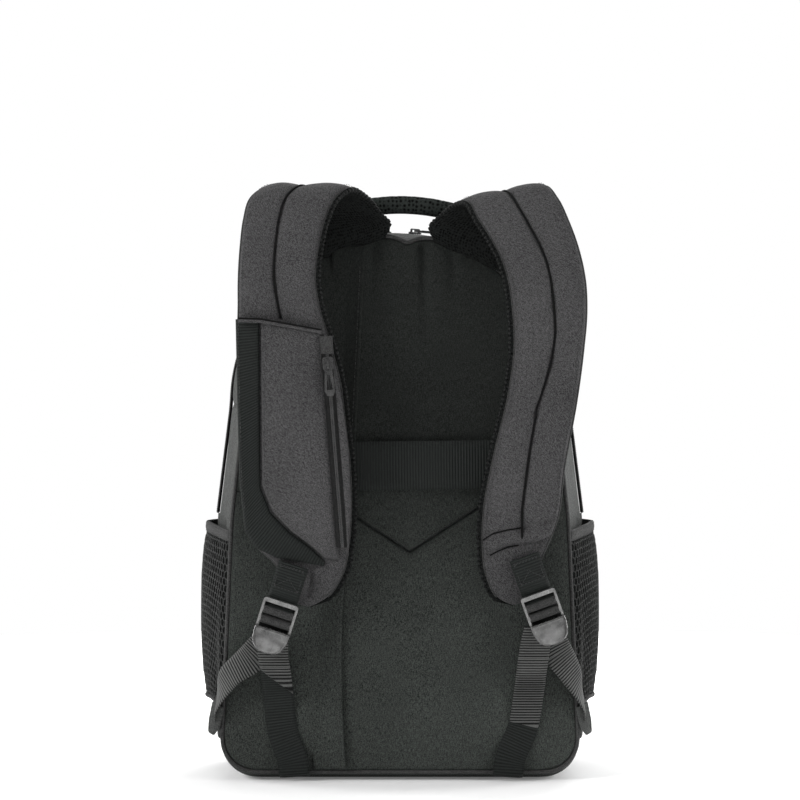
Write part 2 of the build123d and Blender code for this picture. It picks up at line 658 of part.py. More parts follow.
if __name__ == "__main__":
    main()
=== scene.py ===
"""School backpack seen from the side that is worn against the back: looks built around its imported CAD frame.

Lengths are written in the part's millimetres, with the back panel's outer face at y = 0, and place() turns
them into metres in the frame. Left is -X, as seen by someone facing the straps.
"""
import math

import bmesh
import bpy
import numpy as np
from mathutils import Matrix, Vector, noise


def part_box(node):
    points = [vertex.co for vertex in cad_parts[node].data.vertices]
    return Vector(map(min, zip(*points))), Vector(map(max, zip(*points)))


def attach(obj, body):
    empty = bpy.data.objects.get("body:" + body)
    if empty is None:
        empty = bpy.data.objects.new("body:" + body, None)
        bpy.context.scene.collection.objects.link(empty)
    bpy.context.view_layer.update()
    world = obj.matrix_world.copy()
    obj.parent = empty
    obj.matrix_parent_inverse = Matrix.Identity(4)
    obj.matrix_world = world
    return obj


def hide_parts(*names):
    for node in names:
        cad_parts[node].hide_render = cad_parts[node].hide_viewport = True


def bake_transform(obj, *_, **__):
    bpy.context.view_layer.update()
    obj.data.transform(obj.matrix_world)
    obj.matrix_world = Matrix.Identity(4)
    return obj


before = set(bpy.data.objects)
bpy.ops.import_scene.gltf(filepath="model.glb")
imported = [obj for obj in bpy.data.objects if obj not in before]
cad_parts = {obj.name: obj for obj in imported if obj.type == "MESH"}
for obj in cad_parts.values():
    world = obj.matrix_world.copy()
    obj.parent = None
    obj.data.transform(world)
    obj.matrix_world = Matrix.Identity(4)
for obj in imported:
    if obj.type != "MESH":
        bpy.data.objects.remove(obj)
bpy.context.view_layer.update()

MM = 0.001
HOME_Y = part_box("lower_back_panel")[0].y

# ---- sizes shared with the part, in millimetres ----------------------------------------------------
# The bag's outlines from back to front: depth, arch radius, height where the arch springs, half widths at the
# waist and at the foot, height of the bottom, and its corners' radius.
STATIONS = (
    (8.0, 128.0, 325.0, 140.0, 148.0, 6.0, 28.0),
    (20.0, 132.0, 322.0, 144.0, 149.5, 0.0, 30.0),
    (85.0, 145.0, 312.0, 157.0, 153.0, 0.0, 32.0),
    (138.0, 136.0, 314.0, 146.0, 148.0, 0.0, 32.0),
    (150.0, 125.0, 316.0, 135.0, 138.0, 9.0, 28.0),
)
WAIST_Z = 215.0
BACK_Y = 8.0
ZIP_Y = 85.0
ROUND_Y = 138.0
FRONT_Y = 150.0
PIPING_Y = 146.5
TAPE_EDGE = 10.0
UNDER_TAPE = 2.0
SIDE_LOW_Z = 32.0
ZIP_END_Z = 218.0
FLAP_Z = 220.0
SPRING_Z = 312.0
WEBBING_W = 25.0
RIB = 2.4
LEAN = math.radians(7.4)

# Stations along each strap's middle, from its root down to its tip: x, y, z, width and sideways slope in
# degrees.
RIGHT_STRAP = (
    (54.0, 3.5, 444.5, 57.0, 24.0), (65.0, 1.0, 463.0, 56.0, 9.0), (77.0, -7.0, 478.0, 58.0, -4.0),
    (88.0, -20.0, 482.5, 63.0, -12.0), (96.5, -33.0, 470.0, 66.0, -14.0), (105.0, -41.0, 453.5, 64.0, -12.0),
    (113.5, -46.0, 433.0, 62.0, -7.0), (119.0, -49.0, 410.0, 61.0, -2.0), (121.0, -50.0, 386.0, 59.0, 0.0),
    (120.5, -48.0, 358.0, 55.5, 3.0), (116.0, -43.2, 320.0, 55.0, 8.0), (104.5, -35.2, 262.0, 58.0, 8.0),
    (98.5, -29.5, 222.0, 60.5, 4.0), (95.0, -26.3, 200.0, 55.0, -4.0), (92.5, -22.8, 176.0, 44.0, -14.0),
    (96.0, -19.9, 155.0, 26.0, -20.0),
)
LEFT_STRAP = (
    (-39.0, 3.5, 450.8, 57.0, -18.0), (-48.0, 1.0, 465.0, 60.0, -5.0), (-61.0, -7.0, 481.0, 64.0, 0.0),
    (-76.0, -20.0, 487.0, 68.0, 0.0), (-88.0, -33.0, 478.0, 68.0, 0.0), (-94.0, -41.0, 461.0, 65.0, 0.0),
    (-97.5, -46.0, 440.0, 62.5, 0.0), (-99.5, -49.5, 410.0, 61.5, 0.0), (-98.0, -50.0, 391.0, 64.5, 0.0),
    (-94.5, -48.0, 365.0, 73.0, 0.0), (-90.0, -44.0, 331.0, 82.0, 0.0), (-87.5, -40.0, 297.0, 85.5, 0.0),
    (-84.8, -34.5, 257.0, 88.5, 0.0), (-83.3, -29.5, 222.0, 86.5, 0.0), (-80.0, -25.8, 197.0, 76.0, 0.0),
    (-74.0, -22.8, 176.0, 54.0, 8.0), (-77.0, -19.9, 153.0, 26.0, 12.0),
)
# Sideways offset of each strap's middle seam from its centre line, by height.
RIGHT_SEAM = (
    (195.0, 5.5), (226.0, 0.5), (262.0, -0.5), (308.0, -3.0), (343.0, 2.4), (369.0, 4.5), (394.0, 3.2),
    (426.0, 3.0), (455.0, 0.8), (487.0, 0.0),
)
LEFT_SEAM = ((380.0, 0.5), (414.0, -2.4), (450.0, -3.5), (487.0, -5.0))

# Webbing from each buckle to the bag: x, y, z, and how far the webbing's width is turned round the vertical.
LOAD_WEBBING = {
    "left": ((-104.0, -20.4, 126.0, 0.0), (-119.0, -15.0, 106.0, -10.0), (-142.0, -8.5, 86.0, -45.0),
             (-152.0, 4.0, 64.0, -84.0), (-153.8, 22.0, 50.0, -88.0)),
    "right": ((119.0, -20.4, 133.0, 0.0), (128.0, -15.0, 111.0, 10.0), (142.0, -8.5, 88.0, 45.0),
              (152.0, 4.0, 64.0, 84.0), (153.8, 22.0, 50.0, 88.0)),
}
TAIL_WEBBING = {
    "left": ((-103.5, -24.3, 122.0, 0.0), (-104.0, -21.3, 106.0, 0.0), (-102.0, -17.6, 92.0, 0.0),
             (-100.0, -5.5, 68.0, 0.0), (-97.0, -2.4, 42.0, 0.0), (-88.0, -2.4, 13.0, 0.0),
             (-87.5, -1.4, 6.4, 0.0), (-87.0, 2.0, 3.2, 0.0)),
    "right": ((114.0, -24.3, 129.0, 0.0), (110.5, -21.3, 112.0, 0.0), (108.5, -17.6, 96.0, 0.0),
              (106.0, -5.5, 72.0, 0.0), (102.0, -2.4, 46.0, 0.0), (90.0, -2.4, 13.0, 0.0),
              (89.5, -1.4, 6.4, 0.0), (89.0, 2.0, 3.2, 0.0)),
}
# Each buckle's place (x, z) and its tilt in degrees.
BUCKLES = {"left": (-100.5, 137.5, -18.0), "right": (116.5, 144.5, 20.0)}
BUCKLE_Y = -29.9
BAND_Z = (241.0, 281.0)
CHEVRON_TIP = (8.0, 189.0)
CHEVRON_Z = 239.0
CHEVRON_REACH = 78.0



# ---- numbers and paths -----------------------------------------------------------------------------
def place(points):
    """Part millimetres to metres in the frame."""
    p = np.array(points, float) * MM
    p[..., 1] += HOME_Y
    return p


def unit(v):
    """The same directions with a length of one."""
    v = np.asarray(v, float)
    return v / np.maximum(np.linalg.norm(v, axis=-1, keepdims=True), 1e-9)


def lengths_along(points):
    """Length of the path from its first point to each point."""
    steps = np.linalg.norm(np.diff(np.array(points, float), axis=0), axis=1)
    return np.concatenate([[0.0], np.cumsum(steps)])


def closed(loop):
    """A loop with its first point repeated at its end."""
    return np.concatenate([loop, loop[:1]])


def through(stations, count):
    """Smooth curve through stations, evenly spaced by length over their first three values."""
    s = np.array(stations, float)
    chord = lengths_along(s[:, :3])
    t = np.linspace(0.0, chord[-1], count)
    slopes = np.gradient(s, chord, axis=0)
    i = np.clip(np.searchsorted(chord, t, side="right") - 1, 0, len(s) - 2)
    h = (chord[i + 1] - chord[i])[:, None]
    f = (t - chord[i])[:, None] / h
    return (
        (2 * f**3 - 3 * f**2 + 1) * s[i] + (f**3 - 2 * f**2 + f) * h * slopes[i]
        + (3 * f**2 - 2 * f**3) * s[i + 1] + (f**3 - f**2) * h * slopes[i + 1]
    )


def spaced(points, count):
    """The same polyline, resampled at even steps."""
    p = np.array(points, float)
    chord = lengths_along(p)
    t = np.linspace(0.0, chord[-1], count)
    return np.stack([np.interp(t, chord, p[:, k]) for k in range(p.shape[1])], axis=1)


def path_length(points):
    """Length of the whole path."""
    return float(lengths_along(points)[-1])


def straight(a, b, count):
    """Points from a towards b, without b itself."""
    t = np.linspace(0.0, 1.0, count, endpoint=False)[:, None]
    return np.array(a, float) + (np.array(b, float) - np.array(a, float)) * t


def arc(centre, radius, start, end, count):
    """Points of an arc between two angles in degrees, without its last one."""
    a = np.radians(np.linspace(start, end, count, endpoint=False))
    return np.array(centre, float) + radius * np.stack([np.cos(a), np.sin(a)], axis=1)


def rounded(loop, passes=3):
    """A closed loop of points with its kinks softened."""
    for _ in range(passes):
        loop = (np.roll(loop, 1, axis=0) + 2 * loop + np.roll(loop, -1, axis=0)) / 4
    return loop


def away(points, boundary):
    """Distance of each (x, z) point from the nearest of the boundary's points."""
    out = np.empty(len(points))
    for i in range(0, len(points), 2000):
        d = points[i:i + 2000, None, :] - boundary[None, :, :]
        out[i:i + 2000] = np.sqrt((d**2).sum(axis=2)).min(axis=1)
    return out


def rough(p, scale, seed):
    """Smooth noise from -1 to 1 at a point in millimetres."""
    return noise.noise(Vector((p[0] / scale + seed, p[1] / scale - seed, p[2] / scale + 2.0 * seed)))


def roughness_at(points, *layers):
    """Sum of layers of smooth noise at each point; a layer is its height, scale and seed."""
    return np.array([sum(high * rough(q, scale, seed) for high, scale, seed in layers) for q in points])


def bag_values(y):
    """The bag's outline at a depth: arch radius, spring height, waist, foot, bottom and corner radius."""
    for low, high in zip(STATIONS, STATIONS[1:]):
        if y <= high[0]:
            t = (y - low[0]) / (high[0] - low[0])
            return [a + t * (b - a) for a, b in zip(low[1:], high[1:])]
    return list(STATIONS[-1][1:])


def outline_of(values, inset=0.0):
    """Closed outline of the bag as (x, z) points, from the bottom middle round by the right side."""
    arch, spring, waist, foot, bottom, corner = values
    arch, waist, foot, bottom = arch - inset, waist - inset, foot - inset, bottom + inset
    corner = max(corner - inset, 5.0)
    half = np.concatenate([
        straight((0.0, bottom), (foot - corner, bottom), 30),
        arc((foot - corner, bottom + corner), corner, -90.0, 0.0, 14),
        straight((foot, bottom + corner), (waist, WAIST_Z), 44),
        straight((waist, WAIST_Z), (arch, spring), 26),
        arc((0.0, spring), arch, 0.0, 90.0, 56),
    ])
    top = np.array([[0.0, spring + arch]])
    mirrored = half[1:][::-1] * np.array([-1.0, 1.0])
    return rounded(np.concatenate([half, top, mirrored]))


def outline(y, inset=0.0):
    """The bag's outline at a depth."""
    return outline_of(bag_values(y), inset)


def top_dip(points):
    """The soft dip in the middle of the bag's top edge, beside the back panel."""
    p = np.array(points, float)
    beside = np.exp(-np.maximum(p[..., 1] - BACK_Y, 0.0) / 16.0)
    high = np.clip((p[..., 2] - 425.0) / 22.0, 0.0, 1.0)
    dip = 7.0 * np.exp(-np.abs((p[..., 0] - 6.0) / 10.0) ** 1.3)
    p[..., 2] -= dip * beside * high
    return p


# ---- mesh helpers ----------------------------------------------------------------------------------
def finish_piece(obj, body, replaces=()):
    """Gives a piece its body, and hides the CAD nodes that it stands for."""
    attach(obj, body)
    if replaces:
        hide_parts(*replaces)
    return obj


def object_from(name, verts, faces, uvs, material):
    """A smooth-shaded object; uvs has one (u, v) for each corner of each face, in metres."""
    mesh = bpy.data.meshes.new(name)
    mesh.from_pydata([tuple(v) for v in verts], [], faces)
    if uvs is not None:
        mesh.uv_layers.new(name="UVMap").data.foreach_set("uv", np.array(uvs, np.float32).ravel())
    mesh.polygons.foreach_set("use_smooth", [True] * len(mesh.polygons))
    mesh.materials.append(material)
    obj = bpy.data.objects.new(name, mesh)
    bpy.context.scene.collection.objects.link(obj)
    return obj


def grid(name, rows, material, ring=False, capped=False, flip=False):
    """A surface through rows of points in part millimetres. A ring joins each row's ends; caps close its
    first and last rows."""
    p = place(rows)
    n, m = p.shape[:2]
    across = np.concatenate([p, p[:, :1]], axis=1) if ring else p
    u = np.concatenate([[0.0], np.cumsum(np.linalg.norm(np.diff(across, axis=1), axis=2).mean(axis=0))])
    v = np.concatenate([[0.0], np.cumsum(np.linalg.norm(np.diff(p, axis=0), axis=2).mean(axis=1))])
    faces, uvs = [], []
    for i in range(n - 1):
        for j in range(m if ring else m - 1):
            k = (j + 1) % m
            corners = [(i, j, j), (i, k, j + 1), (i + 1, k, j + 1), (i + 1, j, j)]
            if flip:
                corners.reverse()
            faces.append([a * m + b for a, b, _ in corners])
            uvs += [(u[c], v[a]) for a, _, c in corners]
    if ring and capped:
        for i, order in ((0, range(m - 1, -1, -1)), (n - 1, range(m))):
            order = list(order) if not flip else list(order)[::-1]
            faces.append([i * m + j for j in order])
            uvs += [(u[j], v[i]) for j in order]
    return object_from(name, p.reshape(-1, 3), faces, uvs, material)


def join(name, objects):
    """One object from several, keeping the first one's materials."""
    bm = bmesh.new()
    for o in objects:
        bm.from_mesh(o.data)
    kept = objects[0]
    bm.to_mesh(kept.data)
    bm.free()
    for o in objects[1:]:
        bpy.data.objects.remove(o)
    kept.name = name
    return kept


def weld(obj, distance=0.02):
    """Merges points that lie on each other."""
    bm = bmesh.new()
    bm.from_mesh(obj.data)
    bmesh.ops.remove_doubles(bm, verts=bm.verts, dist=distance * MM)
    bm.to_mesh(obj.data)
    bm.free()
    return obj


def points_of(obj):
    """An object's points in part millimetres, and its normals."""
    co = np.array([v.co for v in obj.data.vertices], float)
    normals = np.array([v.normal for v in obj.data.vertices], float)
    co[:, 1] -= HOME_Y
    return co / MM, normals


def set_points(obj, points):
    """Moves an object's points to places given in part millimetres."""
    obj.data.vertices.foreach_set("co", place(points).astype(np.float32).ravel())
    obj.data.update()


def crumple(obj, amount, scale, seed, fade=None):
    """Moves points along their normals by smooth noise, less where fade is small."""
    p, n = points_of(obj)
    move = np.array([rough(q, scale, seed) + 0.4 * rough(q, scale / 2.7, seed + 5) for q in p]) * amount
    if fade is not None:
        move = move * fade(p)
    set_points(obj, p + n * move[:, None])


def tuck(obj, distance, depth, reach):
    """Draws fabric in near a seam: distance gives each point's distance from it."""
    p, n = points_of(obj)
    set_points(obj, p - n * (depth * np.exp(-(distance(p) / reach) ** 2))[:, None])


def thicken(obj, thickness, lining=None, inward=True):
    """Gives a sheet its thickness, with another material on its inner side if a lining is given."""
    m = obj.modifiers.new("thickness", "SOLIDIFY")
    m.thickness = thickness * MM
    m.offset = -1.0 if inward else 0.0
    if lining is not None:
        obj.data.materials.append(lining)
        m.material_offset = 1
        m.material_offset_rim = 0
    return obj


def smooth_more(obj):
    """Halves the mesh's steps along a smooth surface."""
    m = obj.modifiers.new("smooth", "SUBSURF")
    m.levels = 1
    m.render_levels = 1
    return obj


def baked(obj):
    """Applies every modifier to the object's mesh."""
    graph = bpy.context.evaluated_depsgraph_get()
    shown = obj.evaluated_get(graph)
    mesh = bpy.data.meshes.new_from_object(shown, preserve_all_data_layers=True, depsgraph=graph)
    obj.modifiers.clear()
    obj.data = mesh
    return obj


SIM_FRAMES = 18
CLOTH_SETTINGS = {
    "quality": 6,
    "mass": 0.25,
    "tension_stiffness": 12,
    "compression_stiffness": 12,
    "bending_stiffness": 0.4,
    "use_pressure": True,
    "uniform_pressure_force": 3.0,
    "vertex_group_mass": "held",
}


def swell(obj, held, cap):
    """Cloth simulation that blows a closed piece up from inside. Its seams are held, and no point moves more
    than cap millimetres."""
    before, _ = points_of(obj)
    group = obj.vertex_groups.new(name="held")
    for i in np.nonzero(held(before))[0]:
        group.add([int(i)], 1.0, "REPLACE")
    cloth = obj.modifiers.new("cloth", "CLOTH")
    for setting, value in CLOTH_SETTINGS.items():
        setattr(cloth.settings, setting, value)
    cloth.settings.effector_weights.gravity = 0.0
    scene = bpy.context.scene
    for f in range(1, SIM_FRAMES + 1):
        scene.frame_set(f)
    moved = obj.evaluated_get(bpy.context.evaluated_depsgraph_get()).to_mesh()
    after = np.array([v.co for v in moved.vertices], float)
    after[:, 1] -= HOME_Y
    after /= MM
    obj.modifiers.remove(cloth)
    scene.frame_set(1)
    step = after - before
    size = np.linalg.norm(step, axis=1, keepdims=True)
    step *= np.minimum(1.0, cap / np.maximum(size, 1e-9))
    set_points(obj, before + step)
    return obj


# ---- materials -------------------------------------------------------------------------------------
class Paint:
    """One procedural material, built node by node."""

    def __init__(self, name):
        self.material = bpy.data.materials.new(name)
        self.material.use_nodes = True
        self.tree = self.material.node_tree
        self.shader = next(n for n in self.tree.nodes if n.type == "BSDF_PRINCIPLED")

    def add(self, kind, inputs=None, **settings):
        node = self.tree.nodes.new("ShaderNode" + kind)
        for key, value in settings.items():
            setattr(node, key, value)
        for key, value in (inputs or {}).items():
            if isinstance(value, bpy.types.NodeSocket):
                self.tree.links.new(value, node.inputs[key])
            else:
                node.inputs[key].default_value = value
        return node

    def math(self, operation, a, b=0.0, c=0.0):
        return self.add("Math", {0: a, 1: b, 2: c}, operation=operation).outputs[0]

    def coords(self, kind="UV", scale=(1.0, 1.0, 1.0), turn=0.0):
        source = self.add("TexCoord").outputs[kind]
        inputs = {"Vector": source, "Scale": scale, "Rotation": (0.0, 0.0, turn)}
        return self.add("Mapping", inputs).outputs[0]

    def noise(self, vector, scale, detail=2.0, rough=0.5):
        inputs = {"Vector": vector, "Scale": scale, "Detail": detail, "Roughness": rough}
        return self.add("TexNoise", inputs).outputs[0]

    def ramp(self, value, low, high):
        inputs = {"Value": value, "From Min": low, "From Max": high}
        return self.add("MapRange", inputs, clamp=True).outputs[0]

    def blend(self, factor, a, b):
        node = self.add("Mix", {0: factor}, data_type="RGBA")
        for socket, value in ((node.inputs[6], a), (node.inputs[7], b)):
            if isinstance(value, bpy.types.NodeSocket):
                self.tree.links.new(value, socket)
            else:
                socket.default_value = (*value, 1.0)
        return node.outputs[2]

    def wave(self, value, pitch_mm):
        """Sine of a coordinate in metres, with the given pitch."""
        return self.math("SINE", self.math("MULTIPLY", value, 2 * math.pi / (pitch_mm * MM)))

    def weave(self, vector, pitch_mm):
        """Plain weave, from -1 to 1."""
        xyz = self.add("SeparateXYZ", {0: vector})
        warp, weft = (self.wave(xyz.outputs[axis], pitch_mm) for axis in (0, 1))
        return self.math("MULTIPLY", warp, weft)

    def finish(self, colour, roughness, height=None, bump_mm=0.3, strength=1.0, sheen=0.0, gloss=0.16):
        """Joins colour, roughness and bump to the shader."""
        s = self.shader
        self.tree.links.new(colour, s.inputs["Base Color"])
        if isinstance(roughness, bpy.types.NodeSocket):
            self.tree.links.new(roughness, s.inputs["Roughness"])
        else:
            s.inputs["Roughness"].default_value = roughness
        s.inputs["Sheen Weight"].default_value = sheen
        s.inputs["Sheen Roughness"].default_value = 0.4
        s.inputs["Specular IOR Level"].default_value = gloss
        if height is not None:
            inputs = {"Height": height, "Distance": bump_mm * MM, "Strength": strength}
            bump = self.add("Bump", inputs)
            self.tree.links.new(bump.outputs[0], s.inputs["Normal"])
        return self.material


def fabric(name, dark, light, pitch=0.62, speckle=0.75, sheen=0.02, turn=0.0, coords="UV", fade=None):
    """Woven melange polyester: crossing yarns, uneven yarn colour and slow patches of tone.
    fade is (low z, high z, tone at the top): painted shade that darkens the cloth higher up, for the shadow that
    falls between the straps."""
    p = Paint(name)
    uv = p.coords(coords, turn=turn)
    if coords == "Object":
        x, y, z = p.add("SeparateXYZ", {0: uv}).outputs
        uv = p.add("CombineXYZ", {0: x, 1: z, 2: y}).outputs[0]
    weave = p.weave(uv, pitch)
    yarn = p.noise(p.coords("Object"), 1250.0, 2.0, 0.6)
    drawn_out = p.add("Mapping", {"Vector": uv, "Scale": (1500.0, 260.0, 1.0)}).outputs[0]
    streak = p.noise(drawn_out, 1.0, 1.0)
    tone = p.ramp(p.noise(p.coords("Object"), 9.0, 3.0), 0.3, 0.7)
    yarn_spot = p.math("MULTIPLY", p.ramp(yarn, 0.36, 0.66), 0.65)
    streak_spot = p.math("MULTIPLY", p.ramp(streak, 0.3, 0.7), 0.35)
    spot = p.math("ADD", yarn_spot, streak_spot)
    mixed = p.math("MULTIPLY_ADD", p.math("SUBTRACT", spot, 0.5), speckle, 0.5)
    mixed = p.math("ADD", mixed, p.math("MULTIPLY", p.math("SUBTRACT", tone, 0.5), 0.22))
    mixed = p.math("ADD", mixed, p.math("MULTIPLY", weave, 0.16))
    value = p.ramp(mixed, 0.0, 1.0)
    if fade is not None:
        # Painted shade: the colour darkens with height, standing in for the shadow between the straps.
        level = p.add("SeparateXYZ", {0: p.coords("Object")}).outputs[2]
        painted_shade = p.math("MULTIPLY", p.ramp(level, fade[0], fade[1]), 1.0 - fade[2])
        value = p.math("MULTIPLY", value, p.math("SUBTRACT", 1.0, painted_shade))
    colour = p.blend(value, dark, light)
    height = p.math("ADD", p.math("MULTIPLY", weave, 0.5), p.math("MULTIPLY", yarn, 0.7))
    roughness = p.ramp(mixed, 1.4, -0.4)
    roughness = p.math("MULTIPLY_ADD", roughness, 0.25, 0.66)
    return p.finish(colour, roughness, height, 0.35, 0.6, sheen)


def ribbed_webbing(name, dark, light, sheen=0.02, contrast=0.6):
    """Webbing: cross ribs follow the mesh's own, with the yarns' fine lengthwise texture on them."""
    p = Paint(name)
    uv = p.coords("UV")
    xyz = p.add("SeparateXYZ", {0: uv})
    rib = p.wave(xyz.outputs[1], RIB)
    yarn = p.wave(xyz.outputs[0], 0.9)
    grain = p.noise(p.coords("Object"), 1400.0, 2.0, 0.6)
    value = p.math("MULTIPLY_ADD", rib, 0.5 * contrast, 0.42)
    value = p.math("ADD", value, p.math("MULTIPLY", yarn, 0.08))
    value = p.math("ADD", value, p.math("MULTIPLY", p.math("SUBTRACT", grain, 0.5), 0.7))
    colour = p.blend(p.ramp(value, 0.0, 1.0), dark, light)
    height = p.math("ADD", p.math("MULTIPLY", yarn, 0.4), grain)
    return p.finish(colour, 0.62, height, 0.25, 0.5, sheen)


def spacer_mesh(name, dark, light, cell=2.6):
    """Air mesh: small round holes in a knitted face."""
    p = Paint(name)
    uv = p.coords()
    inputs = {"Vector": uv, "Scale": 1.0 / (cell * MM), "Randomness": 0.35}
    holes = p.add("TexVoronoi", inputs, feature="F1").outputs[0]
    grain = p.noise(p.coords("Object"), 1500.0, 2.0)
    open_part = p.ramp(holes, 0.18, 0.46)
    value = p.math("MULTIPLY", open_part, p.math("MULTIPLY_ADD", grain, 1.2, 0.3))
    colour = p.blend(p.ramp(value, 0.0, 1.0), dark, light)
    height = p.math("ADD", open_part, p.math("MULTIPLY", grain, 0.3))
    return p.finish(colour, 0.85, height, 0.8, 0.8, 0.0, gloss=0.06)


def moulded(name, dark, light, roughness, metallic=0.0, coat=0.0):
    """Moulded plastic or coated metal, with faint flow marks and worn patches."""
    p = Paint(name)
    o = p.coords("Object")
    slow = p.noise(o, 160.0, 3.0, 0.6)
    fine = p.noise(o, 2600.0, 2.0, 0.5)
    scuff = p.ramp(p.noise(o, 420.0, 4.0, 0.7), 0.52, 0.75)
    colour = p.blend(p.ramp(slow, 0.3, 0.7), dark, light)
    rough_value = p.math("MULTIPLY_ADD", scuff, 0.18, roughness)
    height = p.math("ADD", p.math("MULTIPLY", fine, 0.3), p.math("MULTIPLY", slow, 0.8))
    material = p.finish(colour, rough_value, height, 0.05, 0.35)
    s = p.shader
    s.inputs["Metallic"].default_value = metallic
    s.inputs["Coat Weight"].default_value = coat
    s.inputs["Coat Roughness"].default_value = 0.2
    s.inputs["Specular IOR Level"].default_value = 0.5
    return material


def thread_paint(name, dark, light):
    """Sewing thread with a fine twist."""
    p = Paint(name)
    across = p.coords("Object", scale=(1.0, 0.4, 1.0), turn=0.6)
    twist = p.wave(p.add("SeparateXYZ", {0: across}).outputs[0], 0.5)
    colour = p.blend(p.math("MULTIPLY_ADD", twist, 0.5, 0.5), dark, light)
    return p.finish(colour, 0.6, twist, 0.1, 0.5, 0.1)


STRAP = fabric("strap_cloth", (0.010, 0.010, 0.0105), (0.112, 0.110, 0.112), speckle=1.0, sheen=0.03,
               turn=0.7)
# Back panel cloth; its fade darkens it from 0.15 m up to 0.30 m, down to 0.36 of its tone: painted shade for the
# shadow between the straps.
BACK = fabric("back_cloth", (0.003, 0.0037, 0.0033), (0.072, 0.080, 0.073), speckle=1.0, coords="Object",
              fade=(0.15, 0.30, 0.36))
SIDE = fabric("side_cloth", (0.014, 0.0148, 0.0143), (0.120, 0.124, 0.120), speckle=0.8, sheen=0.03)
BASE = fabric("base_cloth", (0.008, 0.009, 0.0085), (0.062, 0.067, 0.063), speckle=0.8, sheen=0.02)
BINDING = fabric("binding_cloth", (0.010, 0.010, 0.010), (0.080, 0.080, 0.079), pitch=0.9, sheen=0.03)
DARK_BINDING = fabric("dark_binding_cloth", (0.004, 0.004, 0.004), (0.022, 0.022, 0.022), pitch=0.9,
                      sheen=0.0)
LINING = fabric("lining_cloth", (0.045, 0.047, 0.050), (0.110, 0.114, 0.120), pitch=0.5, speckle=0.3,
                coords="Object")
WEBBING = ribbed_webbing("ribbed_webbing", (0.002, 0.0021, 0.002), (0.105, 0.107, 0.104), contrast=1.2)
# Darker webbing for the dark bands, loops and patches; on the hanging tails it is painted shade, a shaded copy of
# ribbed_webbing.
DARK_AND_SHADED_WEBBING = ribbed_webbing("dark_and_shaded_ribbed_webbing", (0.0018, 0.0022, 0.002), (0.022, 0.026, 0.024))
AIR_MESH = spacer_mesh("air_mesh_cloth", (0.0008, 0.0008, 0.0008), (0.011, 0.012, 0.0115))
HANDLE_MESH = spacer_mesh("handle_mesh_cloth", (0.001, 0.0011, 0.001), (0.026, 0.030, 0.028), cell=3.4)
NET = fabric("pocket_net", (0.006, 0.006, 0.006), (0.085, 0.087, 0.085), pitch=0.4, sheen=0.0,
             coords="Object")
TAPE = fabric("zipper_tape_cloth", (0.003, 0.003, 0.003), (0.022, 0.022, 0.022), pitch=0.7, sheen=0.0,
              coords="Object")
COIL = moulded("zipper_coil", (0.012, 0.012, 0.012), (0.040, 0.040, 0.040), 0.34)
METAL = moulded("coated_zipper_metal", (0.030, 0.030, 0.030), (0.075, 0.075, 0.075), 0.22, metallic=0.9)
# Buckle plastic, glossy black in life, given a mid-grey base colour and some metallic to brighten it: painted
# reflection standing in for the highlights its gloss catches.
BUCKLE_PLASTIC_PAINTED_REFLECTION = moulded("buckle_gloss_painted_reflection", (0.075, 0.075, 0.074), (0.20, 0.20, 0.196), 0.24, metallic=0.35, coat=0.9)
PAD_PLASTIC = moulded("thumb_pad_gloss", (0.030, 0.030, 0.030), (0.11, 0.11, 0.108), 0.22, metallic=0.25,
                      coat=0.9)
ROPE = fabric("rolled_mesh", (0.001, 0.001, 0.001), (0.028, 0.029, 0.0285), pitch=1.6, coords="Object")
# Near-black cloth for cords laid in seams and folds and for the strip behind the buckle bars: painted shadow.
SEAM_SHADOW = fabric("seam_shadow_cloth", (0.0005, 0.0005, 0.0005), (0.004, 0.004, 0.004), pitch=0.9, sheen=0.0,
              coords="Object")
THREAD = thread_paint("sewing_thread", (0.012, 0.012, 0.012), (0.055, 0.055, 0.055))


# ---- straight and ribbed strips --------------------------------------------------------------------
def strip_rows(centres, across, out, width, thickness, edge_columns=9, rib_height=0.32):
    """Closed cross-sections of webbing along a path; the ribs cross it."""
    count = len(centres)
    wave = 0.5 + 0.5 * np.sin(2 * np.pi * lengths_along(centres) / RIB)
    side = np.linspace(-1.0, 1.0, edge_columns)
    rows = np.empty((count, 2 * edge_columns, 3))
    for k, s in enumerate(side):
        rim = 1.0 - abs(s) ** 8
        lift = thickness / 2 * (0.35 + 0.65 * rim)
        push = (lift + (wave - 0.5) * rib_height * rim)[:, None]
        middle = centres + across * (s * width / 2)
        rows[:, k] = middle + out * push
        rows[:, 2 * edge_columns - 1 - k] = middle - out * push
    return rows


def webbing_rows(centres, across, width, thickness, step=0.42):
    """Cross-sections of webbing through centre points, given the direction of its width at each."""
    data = np.concatenate([np.array(centres, float), unit(across)], axis=1)
    count = max(8, int(path_length(data[:, :3]) / step))
    data = through(data, count)
    c, a = data[:, :3], data[:, 3:6]
    along = unit(np.gradient(c, axis=0))
    a = unit(a - along * (a * along).sum(axis=1, keepdims=True))
    out = unit(np.cross(along, a))
    return strip_rows(c, a, out, width, thickness)


def ribbed_strip(name, centres, across, width, thickness, material):
    """A length of webbing through centre points."""
    rows = webbing_rows(centres, across, width, thickness)
    return fix_outward(grid(name, rows, material, ring=True, capped=True))


